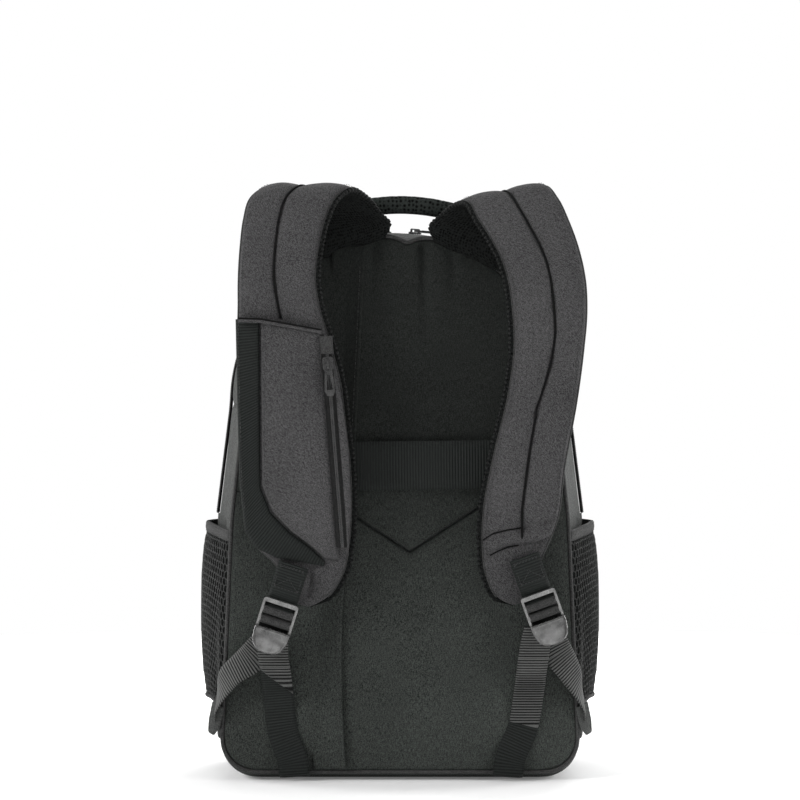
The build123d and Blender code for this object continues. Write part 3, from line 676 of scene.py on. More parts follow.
def tube(name, centres, out, radius, material, ribs=None, sides=8, endless=False, flat=1.0):
    """A tube along a path; ribs gives a pitch for a zipper coil's teeth or the twist of a rolled edge."""
    c = np.array(centres, float)
    out = np.broadcast_to(np.array(out, float), c.shape)
    along = np.gradient(c, axis=0)
    if endless:
        along = np.roll(c, -1, axis=0) - np.roll(c, 1, axis=0)
    along = unit(along)
    out = unit(out - along * (out * along).sum(axis=1, keepdims=True))
    across = unit(np.cross(along, out))
    r = np.full((len(c), 1), float(radius))
    if ribs:
        r *= 1.0 + 0.22 * np.sin(2 * np.pi * lengths_along(c) / ribs)[:, None]
    angles = np.linspace(0.0, 2 * np.pi, sides, endpoint=False)
    rows = np.stack([c + out * r * flat * np.sin(a) + across * r * np.cos(a) for a in angles], axis=1)
    if endless:
        rows = closed(rows)
    return fix_outward(weld(grid(name, rows, material, ring=True, capped=not endless, flip=True)))


def stitches(name, runs, length=2.6, gap=1.0, radius=0.24):
    """Rows of stitches. Each run is (points, out): a path on the surface and the surface's outward direction.
    A stitch is a small six-sided thread that dips into the fabric at both ends."""
    verts, faces = [], []
    for points, out in runs:
        points = np.array(points, float)
        total = path_length(points)
        count = max(1, int(total / (length + gap)))
        fine = spaced(points, count * 4 + 1)
        outs = np.broadcast_to(np.array(out, float), points.shape)
        fine_out = unit(spaced(np.concatenate([points, outs], axis=1), count * 4 + 1)[:, 3:])
        for k in range(count):
            a, mid, b = fine[4 * k], fine[4 * k + 1], fine[4 * k + 3]
            o = fine_out[4 * k + 1]
            along = unit(b - a)
            side = unit(np.cross(along, o))
            raised = o * 0.10
            sunk = o * radius
            rings = ((a - sunk, 0.5), (mid + raised, 1.0), ((mid + b) / 2 + raised, 1.0), (b - sunk, 0.5))
            base = len(verts)
            for centre, size in rings:
                for q in range(6):
                    t = q * math.pi / 3
                    verts.append(centre + (side * math.cos(t) + o * math.sin(t)) * radius * size)
            for first in (base, base + 6, base + 12):
                for q in range(6):
                    w = (q + 1) % 6
                    faces.append([first + q, first + w, first + 6 + w, first + 6 + q])
            faces.append([base + q for q in range(5, -1, -1)])
            faces.append([base + 18 + q for q in range(6)])
    return object_from(name, place(verts), faces, None, THREAD)


# ---- bag -------------------------------------------------------------------------------------------
def shell_rows():
    """Rows of the whole bag's skin, from the back seam forward round the edge and over the front face."""
    rear_edge, front_edge = ZIP_Y - TAPE_EDGE, ZIP_Y + TAPE_EDGE
    depths = np.concatenate([
        np.linspace(BACK_Y, rear_edge - 0.6, 20),
        rear_edge + np.array([0.2, 1.0, UNDER_TAPE]),
        np.linspace(ZIP_Y - 6.0, ZIP_Y + 6.0, 4),
        front_edge - np.array([UNDER_TAPE, 1.0, 0.2]),
        np.linspace(front_edge + 0.6, ROUND_Y - 1.0, 12),
    ])
    rows = [[(x, y, z) for x, z in outline(y)] for y in depths]
    low, high = np.array(bag_values(ROUND_Y)), np.array(bag_values(FRONT_Y))
    for angle in np.radians(np.linspace(4.0, 90.0, 9)):
        y = ROUND_Y + (FRONT_Y - ROUND_Y) * math.sin(angle)
        loop = outline_of(list(low + (high - low) * (1.0 - math.cos(angle))))
        rows.append([(x, y, z) for x, z in loop])
    edge = np.array(rows[-1])
    for k in np.concatenate([np.linspace(0.97, 0.2, 22), [0.08, 0.0]]):
        row = edge.copy()
        row[:, 0] *= k
        inner_z = np.clip(edge[:, 2], 130.0, 330.0)
        row[:, 2] = inner_z + (edge[:, 2] - inner_z) * k
        row[:, 1] = FRONT_Y
        rows.append(row)
    return top_dip(np.array(rows))


def cut_box(obj, low, high):
    """Keeps the part of a mesh inside a box given in part millimetres; None leaves a side open."""
    bm = bmesh.new()
    bm.from_mesh(obj.data)
    for axis in range(3):
        for value, sign in ((low[axis], -1.0), (high[axis], 1.0)):
            if value is None:
                continue
            at = [0.0, 0.0, 0.0]
            at[axis] = value
            normal = [0.0, 0.0, 0.0]
            normal[axis] = sign
            everything = bm.verts[:] + bm.edges[:] + bm.faces[:]
            cut = {"plane_co": place(at), "plane_no": normal, "clear_outer": True, "dist": 1e-6}
            bmesh.ops.bisect_plane(bm, geom=everything, **cut)
    bm.to_mesh(obj.data)
    bm.free()
    return obj


def panel(name, whole, boxes, material):
    """A panel cut out of the bag's skin."""
    parts = []
    for low, high in boxes:
        copy = bpy.data.objects.new(name + "_part", whole.data.copy())
        bpy.context.scene.collection.objects.link(copy)
        parts.append(cut_box(copy, low, high))
    made = weld(join(name, parts))
    made.data.materials.clear()
    made.data.materials.append(material)
    return made


def seam_distance(planes):
    """Distance from the nearest of some seam planes, given as (axis, value)."""
    def distance(p):
        return np.min([np.abs(p[:, axis] - value) for axis, value in planes], axis=0)
    return distance


def fold_noise(obj, amount, seed):
    """Long soft folds that run mostly up and down."""
    p, n = points_of(obj)
    seams = [(1, BACK_Y), (1, ZIP_Y - TAPE_EDGE), (1, ZIP_Y), (2, SIDE_LOW_Z), (2, SPRING_Z)]
    calm = np.clip(seam_distance(seams)(p) / 9.0, 0.0, 1.0)
    move = [noise.noise(Vector((q[0] / 34.0 + seed, q[1] / 16.0, q[2] / 85.0 + seed))) for q in p]
    set_points(obj, p + n * (np.array(move) * amount * calm)[:, None])


def front_slack(p):
    """Where the bag's front can wrinkle: not at its seams, nor under the pockets that are sewn to it."""
    seams = [(2, FLAP_Z), (2, SIDE_LOW_Z), (1, ZIP_Y + TAPE_EDGE), (1, ZIP_Y)]
    free = np.clip(seam_distance(seams)(p) / 14.0, 0.0, 1.0)
    flat = p[:, 1] > FRONT_Y - 1.5
    slit = flat & (np.abs(p[:, 0]) < 108.0) & (np.abs(p[:, 2] - SLIT_Z) < 34.0)
    pocket = flat & (np.abs(p[:, 0]) < 122.0) & (p[:, 2] < 214.0)
    return free * np.where(slit | pocket, 0.12, 1.0)


def build_front_piping():
    """Piping where the bag's front face turns into its sides: over the top, and low at each side."""
    loop = spaced(closed(outline(PIPING_Y, -0.4)), 1600)[:-1]
    low_middle = int(np.argmin(loop[:, 1] + np.abs(loop[:, 0])))
    loop = np.roll(loop, -low_middle, axis=0)
    x, z = loop.T
    low = (z < ZIP_END_Z - 1.0) & (z > SIDE_LOW_Z + 1.0)
    for part, chosen, body in (
        ("upper", z > FLAP_Z + 1.0, "front_flap"),
        ("left", low & (x < 0), "bag"),
        ("right", low & (x > 0), "bag"),
    ):
        centres = [(a, PIPING_Y, b) for a, b in spaced(loop[chosen], 260)]
        cord = tube("front_piping_" + part, centres, (0.0, 1.0, 0.0), 1.5, BINDING, sides=10)
        finish_piece(cord, body)


def build_bag():
    """The bag's fabric panels, cut from one skin, so that they meet at their seams."""
    whole = grid("skin", shell_rows(), SIDE, ring=True, flip=True)
    rear = ZIP_Y - TAPE_EDGE + UNDER_TAPE
    pieces = {
        "left_side_panel": ([((None, None, SIDE_LOW_Z), (-1.0, ZIP_Y, ZIP_END_Z)),
                             ((None, None, ZIP_END_Z), (-1.0, rear, SPRING_Z))], SIDE),
        "right_side_panel": ([((1.0, None, SIDE_LOW_Z), (None, ZIP_Y, ZIP_END_Z)),
                              ((1.0, None, ZIP_END_Z), (None, rear, SPRING_Z))], SIDE),
        "top_gusset": ([((None, None, SPRING_Z - 0.3), (None, rear, None))], SIDE),
        "base_panel": ([((None, None, None), (None, None, SIDE_LOW_Z - 0.3))], BASE),
        "lower_front_panel": ([((None, ZIP_Y + 0.3, SIDE_LOW_Z), (None, None, ZIP_END_Z))], SIDE),
        "front_panel": ([((None, ZIP_Y + TAPE_EDGE - UNDER_TAPE, FLAP_Z), (None, None, None))], SIDE),
    }
    for seed, (name, (boxes, material)) in enumerate(pieces.items()):
        obj = panel(name + "_cloth", whole, boxes, material)
        if name == "base_panel":
            tuck(obj, seam_distance([(2, SIDE_LOW_Z)]), 0.9, 1.6)
        elif name == "front_panel":
            tuck(obj, seam_distance([(2, FLAP_Z)]), 0.9, 2.0)
            tuck(obj, seam_distance([(1, ZIP_Y + TAPE_EDGE - UNDER_TAPE)]), 1.9, 2.2)
            crumple(obj, 1.9, 62.0, 11.3, front_slack)
        elif name == "lower_front_panel":
            tuck(obj, seam_distance([(2, SIDE_LOW_Z), (2, ZIP_END_Z), (1, ZIP_Y)]), 0.9, 2.0)
            crumple(obj, 1.2, 48.0, 15.1, front_slack)
        else:
            tuck(obj, seam_distance([(2, SIDE_LOW_Z), (2, SPRING_Z), (1, BACK_Y)]), 1.0, 2.2)
            tuck(obj, seam_distance([(1, rear)]), 1.9, 2.2)
            fold_noise(obj, 2.6, 3.1 + seed)
        thicken(obj, 2.0, LINING)
        body = "front_flap" if name == "front_panel" else "bag"
        finish_piece(obj, body, [name])
    bpy.data.objects.remove(whole)


def from_gap(loop):
    """What is left of a cut loop, started at the cut, so that it runs through without a jump."""
    steps = np.linalg.norm(np.diff(loop, axis=0, append=loop[:1]), axis=1)
    return np.roll(loop, -int(np.argmax(steps)) - 1, axis=0)


def chevron_z(x):
    """Height of the seam between the two halves of the back panel."""
    rise = np.clip(np.abs(np.asarray(x, float) - CHEVRON_TIP[0]) / CHEVRON_REACH, 0.0, 1.0)
    return CHEVRON_TIP[1] + (CHEVRON_Z - CHEVRON_TIP[1]) * rise


def back_edge(upper, count):
    """The back panel's outer edge from the chevron's left end to its right end, over the top or under the
    bottom."""
    loop = spaced(closed(outline(BACK_Y, 2.0)), 2400)[:-1]
    above = loop[:, 1] > CHEVRON_Z
    if upper:
        return spaced(loop[above][::-1], count)
    chosen = from_gap(loop[~above])
    return spaced(chosen[::-1] if chosen[0, 0] > 0 else chosen, count)


# Folds gathered in at the middle of the back panel's top edge: place, depth, width and length.
GATHERS = (
    (-22.0, 2.6, 4.5, 50.0), (-8.0, -0.9, 6.0, 60.0), (2.0, -1.0, 6.0, 75.0), (19.0, 7.0, 3.3, 100.0),
    (32.0, -1.4, 5.0, 60.0), (43.0, 3.2, 4.0, 55.0), (56.0, -0.8, 6.0, 50.0),
)
GATHERED_Z = 446.0


def back_panel(upper):
    """One padded half of the back panel, between the chevron seam and the bag's edge."""
    columns, rows = 111, 45
    edge = back_edge(upper, columns)
    seam_x = np.linspace(edge[0, 0], edge[-1, 0], columns)
    seam_x = seam_x + CHEVRON_TIP[0] * np.exp(-(seam_x / 60.0) ** 2)
    gap = 0.25 if upper else -0.25
    seam = np.stack([seam_x, chevron_z(seam_x) + gap], axis=1)
    t = np.linspace(0.0, 1.0, rows)[:, None, None]
    face = seam[None] * (1 - t) + edge[None] * t
    boundary = np.concatenate([spaced(seam, 600), spaced(edge, 900)])
    d_edge = away(face.reshape(-1, 2), spaced(edge, 900)).reshape(face.shape[:2])
    d_seam = away(face.reshape(-1, 2), spaced(seam, 900)).reshape(face.shape[:2])
    front_y = np.minimum(4.6 * np.exp(-d_edge / 7.0) + 2.2 * np.exp(-d_seam / 3.5), 5.4)
    front = np.stack([face[..., 0], front_y, face[..., 1]], axis=-1)
    rear = np.stack([face[..., 0], np.full(face.shape[:2], 7.4), face[..., 1]], axis=-1)
    name = ("upper" if upper else "lower") + "_back_panel"
    rim = [np.concatenate([s[0], s[1:-1, -1], s[-1][::-1], s[1:-1, 0][::-1]]) for s in (front, rear)]
    parts = [
        grid(name + "_front", front, BACK, flip=not upper),
        grid(name + "_rear", rear, BACK, flip=upper),
        grid(name + "_rim", rim, BACK, ring=True, flip=upper),
    ]
    obj = fix_outward(weld(join(name + "_pad", parts), 0.05))

    def held(p):
        return (p[:, 1] > 3.0) | (away(p[:, [0, 2]], boundary) < 4.0)

    swell(obj, held, cap=2.0)
    smooth_more(obj)
    baked(obj)
    p, _ = points_of(obj)
    outer = p[:, 1] < 5.5
    move = roughness_at(p, (1.1, 75.0, 2.7))
    if upper:
        for x, deep, wide, reach in GATHERS:
            below = GATHERED_Z - p[:, 2]
            across = (p[:, 0] - x - 0.001 * x * below) / wide
            move += deep * np.exp(-across ** 2) * np.clip(1.0 - below / reach, 0.0, 1.0) ** 1.3
    else:
        trough = np.exp(-((p[:, 0] - placket_x(p[:, 2]) + 10.0) / 11.0) ** 2)
        move += 2.4 * trough
    move *= np.clip(away(p[:, [0, 2]], boundary) / 8.0, 0.0, 1.0)
    p[:, 1] += np.where(outer, np.clip(move, -1.2, 5.0), 0.0)
    set_points(obj, top_dip(p))
    return finish_piece(obj, "bag", [name])


# The placket's free edge, from the top down.
PLACKET_EDGE = ((-29.0, 443.0), (-33.6, 350.0), (-37.2, 283.0), (-43.0, 205.0), (-47.9, 137.0), (-48.2, 70.0),
                (-46.0, 19.0), (-45.4, 9.0))


def placket_x(z):
    """Sideways place of the placket's free edge at a height."""
    e = np.array(PLACKET_EDGE)[::-1]
    return np.interp(z, e[:, 1], e[:, 0])


def build_placket():
    """Flap over the hidden pocket: one with the panel on its left, free and a little open on its right."""
    edge = through([(x, 0.0, z) for x, z in PLACKET_EDGE], 200)
    profile = (
        (-27.0, 1.2), (-25.0, 0.2), (-21.0, -0.5), (-14.0, -1.6), (-7.0, -4.2), (-1.5, -6.2), (0.0, -6.6),
        (0.4, -6.1), (0.0, -5.3), (-1.5, -4.8), (-8.0, -2.9), (-16.0, -0.4), (-25.0, 1.4),
    )
    rows, lip = [], []
    for x, _, z in edge:
        end = np.clip(min(444.0 - z, z - 8.0) / 26.0, 0.0, 1.0) ** 0.6
        sunk = 4.4 * math.exp(-max(min(445.0 - z, z - 8.0), 0.0) / 7.0)
        wave = (0.5 * math.sin(z / 37.0) + 0.3 * math.sin(z / 13.0 + 1.0)) * end
        full = 0.25 + 0.75 * end
        row = [(x + dx, sunk + dy * full + wave * (dx + 27.0) / 27.0, z) for dx, dy in profile]
        rows.append(row)
        lip.append((x - 3.0, row[5][1] + 0.35, z))
    obj = fix_outward(grid("back_zip_placket_flap", rows, BACK, ring=True, capped=True))
    finish_piece(stitches("placket_stitches", [(lip[8:-8], (0.1, -1, 0))]), "bag")
    return finish_piece(obj, "bag", ["back_zip_placket"])


def build_piping():
    """Piping round the seam between back panel and gussets."""
    loop = spaced(closed(outline(BACK_Y, 0.4)), 620)[:-1]
    centres = top_dip([(x, 6.0, z) for x, z in loop])
    obj = tube("back_piping_cord", centres, (0.0, -1.0, 0.0), 1.75, BINDING, sides=10, endless=True)
    finish_piece(obj, "bag", ["back_piping"])


def build_luggage_band():
    """Broad band across the back, sewn in at both sides."""
    left = [(-130.5, -1.2), (-126.0, -1.3), (-121.0, -2.2), (-110.0, -9.6), (-70.0, -10.4), (-36.0, -9.9),
            (0.0, -9.6)]
    path = left + [(-x, y) for x, y in reversed(left[:-1])]
    z = sum(BAND_Z) / 2
    centres = [(x, y, z + 0.8 * math.sin(x / 60.0)) for x, y in path]
    width = BAND_Z[1] - BAND_Z[0]
    obj = ribbed_strip("luggage_band_webbing", centres, [(0, 0, 1)] * len(centres), width, 1.6, DARK_AND_SHADED_WEBBING)
    runs = []
    for x in (-126.5, -124.0, 124.0, 126.5):
        runs.append(([(x, -2.3, BAND_Z[0] + 2), (x, -2.3, BAND_Z[1] - 2)], (0, -1, 0)))
    finish_piece(stitches("luggage_band_stitches", runs), "bag")
    finish_piece(obj, "bag", ["luggage_band"])


# ---- zippers ---------------------------------------------------------------------------------------
def zip_half(name, path, outward, sideways, width, body, replaced, coil_radius=0.9, coil_lift=0.55):
    """One tape of a zipper with its row of teeth. The path runs along the tape's toothed edge line."""
    inner = 1.0
    path, outward, sideways = (np.array(a, float) for a in (path, outward, sideways))
    outward = np.broadcast_to(outward, path.shape)
    sideways = np.broadcast_to(sideways, path.shape)
    section = (
        (inner - 0.2, -1.0), (inner - 0.2, -0.15), (inner + 0.9, 0.05), (inner + 2.0, -0.1),
        (width * 0.6, -0.15), (width - 0.6, -0.1), (width, -0.4), (width - 0.4, -1.1), (width * 0.5, -1.15),
    )
    rows = [[c + s * a + o * h for a, h in section] for c, o, s in zip(path, outward, sideways)]
    tape = fix_outward(grid(name + "_tape_cloth", rows, TAPE, ring=True, capped=True))
    count = int(path_length(path) / 0.32)
    fine = spaced(np.concatenate([path, outward, sideways], axis=1), count)
    c, o, s = fine[:, :3], unit(fine[:, 3:6]), unit(fine[:, 6:9])
    centres = c + s * (inner * 0.72) + o * coil_lift
    teeth = tube(name + "_teeth", centres, o, coil_radius, COIL, ribs=1.6, flat=0.75)
    finish_piece(teeth, body)
    finish_piece(tape, body, replaced)


def fix_outward(obj):
    """Turns a closed mesh's faces outward."""
    bm = bmesh.new()
    bm.from_mesh(obj.data)
    bmesh.ops.recalc_face_normals(bm, faces=bm.faces)
    bm.to_mesh(obj.data)
    bm.free()
    return obj


def zip_line(flat_path, y, middle_z):
    """A zipper's path at one depth from (x, z) points, and its direction away from a point inside the bag."""
    path = np.insert(flat_path, 1, y, axis=1)
    outward = unit(np.cross(unit(np.gradient(path, axis=0)), (0.0, 1.0, 0.0)))
    inside = np.array([0.0, y, middle_z])
    return path, outward * np.sign((outward[0] * (path[0] - inside)).sum())


def build_main_zip():
    """Zipper over the top of the bag and down both sides."""
    loop = spaced(closed(outline(ZIP_Y)), 3000)
    path, outward = zip_line(spaced(loop[loop[:, 1] > ZIP_END_Z + 0.5], 420), ZIP_Y, 300.0)
    zip_half("main_zip_rear", path, outward, (0, -1, 0), TAPE_EDGE, "bag", ["main_zip_rear_tape"])
    zip_half("main_zip_front", path, outward, (0, 1, 0), TAPE_EDGE, "front_flap", ["main_zip_front_tape"])


def build_back_zip():
    """Zipper of the hidden pocket, under the placket."""
    turn = math.radians(2.7)
    middle = np.array([-48.0, 3.2, 228.0])
    down = np.array([math.sin(turn), 0.0, math.cos(turn)])
    path = [middle + down * reach for reach in np.linspace(150.0, -150.0, 120)]
    side = np.array([math.cos(turn), 0.0, -math.sin(turn)])
    zip_half("back_zip_left", path, (0, -1, 0), -side, 8.8, "bag", ["back_zip_tapes"], 0.6, 0.0)
    zip_half("back_zip_right", path, (0, -1, 0), side, 8.8, "bag", [], 0.6, 0.0)


# ---- padded plates ---------------------------------------------------------------------------------
def plate(name, loop, to_space, thickness, material, edge=4.0, crown=0.0, rings=16):
    """A soft plate from a closed loop of 2-D points: round edges, and a crown towards its middle.
    to_space turns (a, b, height) into part millimetres."""
    loop = np.array(loop, float)
    middle = (loop.max(axis=0) + loop.min(axis=0)) / 2
    size = (loop.max(axis=0) - loop.min(axis=0)).min() / 2
    round_edge = edge * (1 - np.cos(np.linspace(0, np.pi / 2, 6)))
    inset = np.concatenate([round_edge, np.linspace(edge * 1.6, size, rings)])
    front, rear = [], []
    for d in inset:
        k = 1.0 - d / size
        ring2 = middle + (loop - middle) * max(k, 0.0)
        height = thickness
        if d < edge:
            height = thickness / 2 * (1.0 + math.sin(math.acos(max(0.0, 1.0 - d / edge))))
        height += crown * (1.0 - max(k, 0.0) ** 2)
        front.append([to_space(a, b, height) for a, b in ring2])
        rear.append([to_space(a, b, thickness - min(height, thickness)) for a, b in ring2])
    rows = rear[::-1] + front
    return fix_outward(weld(grid(name, rows, material, ring=True), 0.05))


def rounded_rectangle(width, height, radius, per_corner=10, per_side=12):
    """Closed loop of a rounded rectangle about the origin."""
    w, h = width / 2 - radius, height / 2 - radius
    points = []
    for x, y, start in ((w, -h, -90.0), (w, h, 0.0), (-w, h, 90.0), (-w, -h, 180.0)):
        points += list(arc((x, y), radius, start, start + 90.0, per_corner))
        points += list(arc((x, y), radius, start + 90.0, 0.0, 1))
    return spaced(closed(points), 4 * (per_corner + per_side) + 1)[:-1]


# ---- straps ----------------------------------------------------------------------------------------
def strap_frame(stations, count):
    """Centres, sideways and outward directions, and widths along a strap, with its ends run into their seams."""
    x, y, z, width, slope = stations[0]
    root = (x + math.copysign(3.0, x), 7.0, z - 10.0, width + 6.0, slope)
    x, y, z, width, slope = stations[-1]
    tip = (x + math.copysign(3.0, x), y + 1.5, z - 6.0, width * 0.5, slope)
    s = through((root, *stations, tip), count)
    c = s[:, :3]
    slope = np.radians(s[:, 4])
    across = np.stack([np.cos(slope), np.zeros(count), -np.sin(slope)], axis=1)
    along = unit(np.gradient(c, axis=0))
    out = unit(np.cross(along, across))
    return c, across, out, s[:, 3]


def seam_offset(side, z):
    """Sideways place of a strap's middle seam at a height, measured from the strap's middle."""
    table = np.array(RIGHT_SEAM if side == "right" else LEFT_SEAM)
    return np.interp(z, table[:, 0], table[:, 1])


COVER_ROWS = 300
CUSHION = 13
COVER_UNDER = 9
SEAM_ENDS = {"left": 150.0, "right": 196.0}
POCKET_TOP_EDGE_Z = 381.0
# Creases pressed into each strap: depth (raised if negative), width, and the line's (x, z) points.
CREASES = {
    "left": (
        (1.2, 2.0, ((-112.0, 178.0), (-92.0, 172.0), (-66.0, 180.0))),
    ),
    "right": (
        (2.8, 2.0, ((73.0, 188.0), (88.6, 195.0), (110.7, 197.0), (125.0, 203.0))),
        (-1.2, 3.0, ((73.0, 194.0), (88.6, 200.5), (110.7, 203.0), (125.0, 209.0))),
        (2.4, 2.0, ((66.0, 200.0), (76.0, 206.5), (99.0, 211.0), (124.0, 217.0))),
        (0.7, 3.0, ((104.0, 300.0), (122.0, 312.0), (140.0, 318.0))),
    ),
}


def cover_section(width, seam, full, seamed):
    """Cross-section of a strap's cover, as (sideways, outward): a cushion either side of the seam, and a flat
    underside. Where seamed falls from 1 to 0, the two cushions become one."""
    t = (1 - np.cos(np.linspace(0, np.pi, CUSHION))) / 2
    cushion = 0.8 + full * np.sin(np.pi * t) ** 0.32
    left = np.stack([-width / 2 + (seam + width / 2) * t, cushion], axis=1)
    right = np.stack([seam + (width / 2 - seam) * t, cushion], axis=1)
    groove_floor = 0.8 + full * (0.42 * seamed + 0.93 * (1 - seamed))
    left[-3:, 1] = np.maximum(left[-3:, 1], groove_floor)
    right[:3, 1] = np.maximum(right[:3, 1], groove_floor)
    top = np.concatenate([left, right[1:]])
    if seamed < 1.0:
        ratio = top[:, 0] / (width / 2)
        plain = 0.8 + full * np.maximum(1 - np.abs(ratio) ** 5, 0.0) ** 0.5
        top[:, 1] = top[:, 1] * seamed + plain * (1 - seamed)
    under = np.linspace((width / 2 - 0.6, 0.25), (-width / 2 + 0.6, 0.25), COVER_UNDER)
    return np.concatenate([top, under])


def strap_cover(side, stations):
    """Padded strap cover: two long cushions either side of the middle seam."""
    c, across, out, width = strap_frame(stations, COVER_ROWS)
    rows, groove = [], []
    for i in range(COVER_ROWS):
        seam = seam_offset(side, c[i, 2])
        front_run = i > COVER_ROWS * 0.16
        seamed = np.clip((c[i, 2] - SEAM_ENDS[side]) / 6.0, 0.0, 1.0) if front_run else 1.0
        root = np.clip(i / (COVER_ROWS * 0.06), 0.0, 1.0)
        tip = np.clip((COVER_ROWS - 1 - i) / (COVER_ROWS * 0.05), 0.0, 1.0)
        full = 5.6 * (0.45 + 0.55 * min(root, tip)) * (0.72 + 0.28 * seamed)
        under_pocket = side == "left" and front_run and c[i, 2] < POCKET_TOP_EDGE_Z
        if seamed > 0.5 and not under_pocket:
            groove.append((c[i] + across[i] * seam + out[i] * (0.8 + full * 0.58), out[i]))
        section = cover_section(width[i], seam, full, seamed)
        rows.append([c[i] + across[i] * a + out[i] * h for a, h in section])
    obj = fix_outward(grid(side + "_strap_cover_pad", rows, STRAP, ring=True, capped=True))
    row, index = np.divmod(np.arange(len(obj.data.vertices)), 2 * CUSHION - 1 + COVER_UNDER)

    def held(p):
        edge = (index <= 1) | (index >= 2 * CUSHION - 3) | (index == CUSHION - 1)
        return edge | (row < 10) | (row > COVER_ROWS - 8)

    swell(obj, held, cap=1.6)
    p, n = points_of(obj)
    upper = (index > 1) & (index < 2 * CUSHION - 3)
    move = roughness_at(p, (0.55, 26.0, 4.2), (0.35, 12.0, 8.1))
    for deep, wide, line in CREASES[side]:
        move -= deep * crease(p, line, wide)
    set_points(obj, p + n * (move * upper)[:, None])
    smooth_more(obj)
    if side == "right":
        # Near-black cords along the sewn lines at the strap's end: painted shadow in their creases.
        for number, line in enumerate(STRAP_END_SEAMS):
            cord = tube(f"right_strap_end_seam_{number}", *laid_on(obj, line, 0.05), 0.6, SEAM_SHADOW)
            finish_piece(cord, "right_strap")
    finish_piece(obj, side + "_strap", [side + "_strap_cover"])
    # A near-black cord in the middle seam's groove: painted shadow along the seam.
    points, outs = zip(*groove)
    seam_shadow_cord = tube(side + "_strap_middle_seam_shadow", points, outs, 0.85, SEAM_SHADOW)
    finish_piece(seam_shadow_cord, side + "_strap")
    return c, across, out, width


# Sewn lines across the right strap's end, as (x, z).
STRAP_END_SEAMS = (
    ((67.5, 200.5), (76.0, 206.0), (88.0, 209.0), (99.0, 210.5)),
    ((73.5, 188.0), (80.0, 191.5), (88.6, 195.0), (97.0, 196.5)),
)


def laid_on(obj, line, lift):
    """A line of (x, z) points laid on a surface's face away from the bag: its points, and the outward
    directions."""
    p, n = points_of(obj)
    facing = n[:, 1] < -0.25
    p, n = p[facing], n[facing]
    points, outs = [], []
    for x, z in spaced(line, max(12, int(path_length(line) / 1.5))):
        d = np.hypot(p[:, 0] - x, p[:, 2] - z)
        near = np.argsort(d)[:5]
        weight = 1.0 / (d[near] + 0.3)
        out = unit((n[near] * weight[:, None]).sum(axis=0))
        y = (p[near, 1] * weight).sum() / weight.sum()
        points.append(np.array([x, y, z]) + out * lift)
        outs.append(out)
    return np.array(points), np.array(outs)


def crease(p, line, reach):
    """How near each point is to a line on the strap's front, given as (x, z): 1 on it, 0 away from it."""
    d = away(p[:, [0, 2]], spaced(line, 60))
    return np.exp(-(d / reach) ** 2)


def rolled_edge(sign, width, roll, bump):
    """One edge of the strap's mesh, as (sideways, outward): it rolls out past the cover and back under."""
    section = (
        (-3.5, 0.15), (-0.4, 0.15), (roll * 0.55 + bump, 1.5 + 0.3 * roll), (roll + bump, 0.4),
        (roll * 0.9 + bump, -1.4), (-0.5, -3.2), (-4.0, -3.9),
    )
    return [(sign * (width / 2 + a), h) for a, h in section]


def strap_lining(side, stations):
    """Air-mesh underside that rolls out past the cover along the strap's edges, most on the inner one."""
    count = 420
    c, across, out, width = strap_frame(stations, count)
    inner = -1.0 if side == "right" else 1.0
    rows = []
    for i, w in enumerate(width):
        end = np.clip(min(i, count - 1 - i) / (count * 0.02), 0.25, 1.0)
        rope = 0.5 + 0.5 * math.sin(2 * math.pi * i / 4.4 + 1.5 * rough((i, 0.0, 0.0), 9.0, 1.7))
        left_roll, right_roll = (end * (4.2 if sign == inner else 0.4) for sign in (-1.0, 1.0))
        left = rolled_edge(-1.0, w, left_roll, 0.9 * rope * left_roll / 3.5)
        right = rolled_edge(1.0, w, right_roll, 0.9 * rope * right_roll / 3.5)
        top = [(a, 0.1) for a in np.linspace(-w / 2 + 6, w / 2 - 6, 5)]
        bottom = [(a, -4.0 - 0.35 * math.cos(a / 3.0)) for a in np.linspace(w / 2 - 7, -w / 2 + 7, 9)]
        loop = top + right + bottom + left[::-1]
        rows.append([c[i] + across[i] * a + out[i] * h for a, h in loop])
    obj = fix_outward(grid(side + "_strap_air_mesh", rows, AIR_MESH, ring=True, capped=True))
    finish_piece(obj, side + "_strap", [side + "_strap_lining"])


def strap_edges(side, frame_data):
    """The mesh rolled out along the strap's inner edge, and a binding with stitches on both long edges."""
    c, across, out, width = frame_data
    inner = -1.0 if side == "right" else 1.0
    data = np.concatenate([c, across, out, width[:, None]], axis=1)[10:-14]
    data = spaced(data, int(path_length(data[:, :3]) / 0.45))
    centres = data[:, :3] + data[:, 3:6] * (inner * (data[:, 9:] / 2 + 2.7)) + data[:, 6:9] * 0.1
    rope = tube(side + "_strap_rolled_mesh", centres, data[:, 6:9], 1.9, ROPE, ribs=3.6, sides=10)
    finish_piece(rope, side + "_strap")
    c, across, out, half = c[6:-8], across[6:-8], out[6:-8], width[6:-8, None] / 2
    runs = []
    for sign in (-1.0, 1.0):
        edge = "inner" if sign == inner else "outer"
        centres = c + across * sign * (half + 0.1) + out * 1.1
        binding = tube(f"{side}_strap_edge_{edge}", centres, out, 1.0, BINDING)
        finish_piece(binding, side + "_strap")
        runs.append((c + across * sign * (half - 2.6) + out * 4.75, out))
    finish_piece(stitches(side + "_strap_stitches", runs, radius=0.2), side + "_strap")


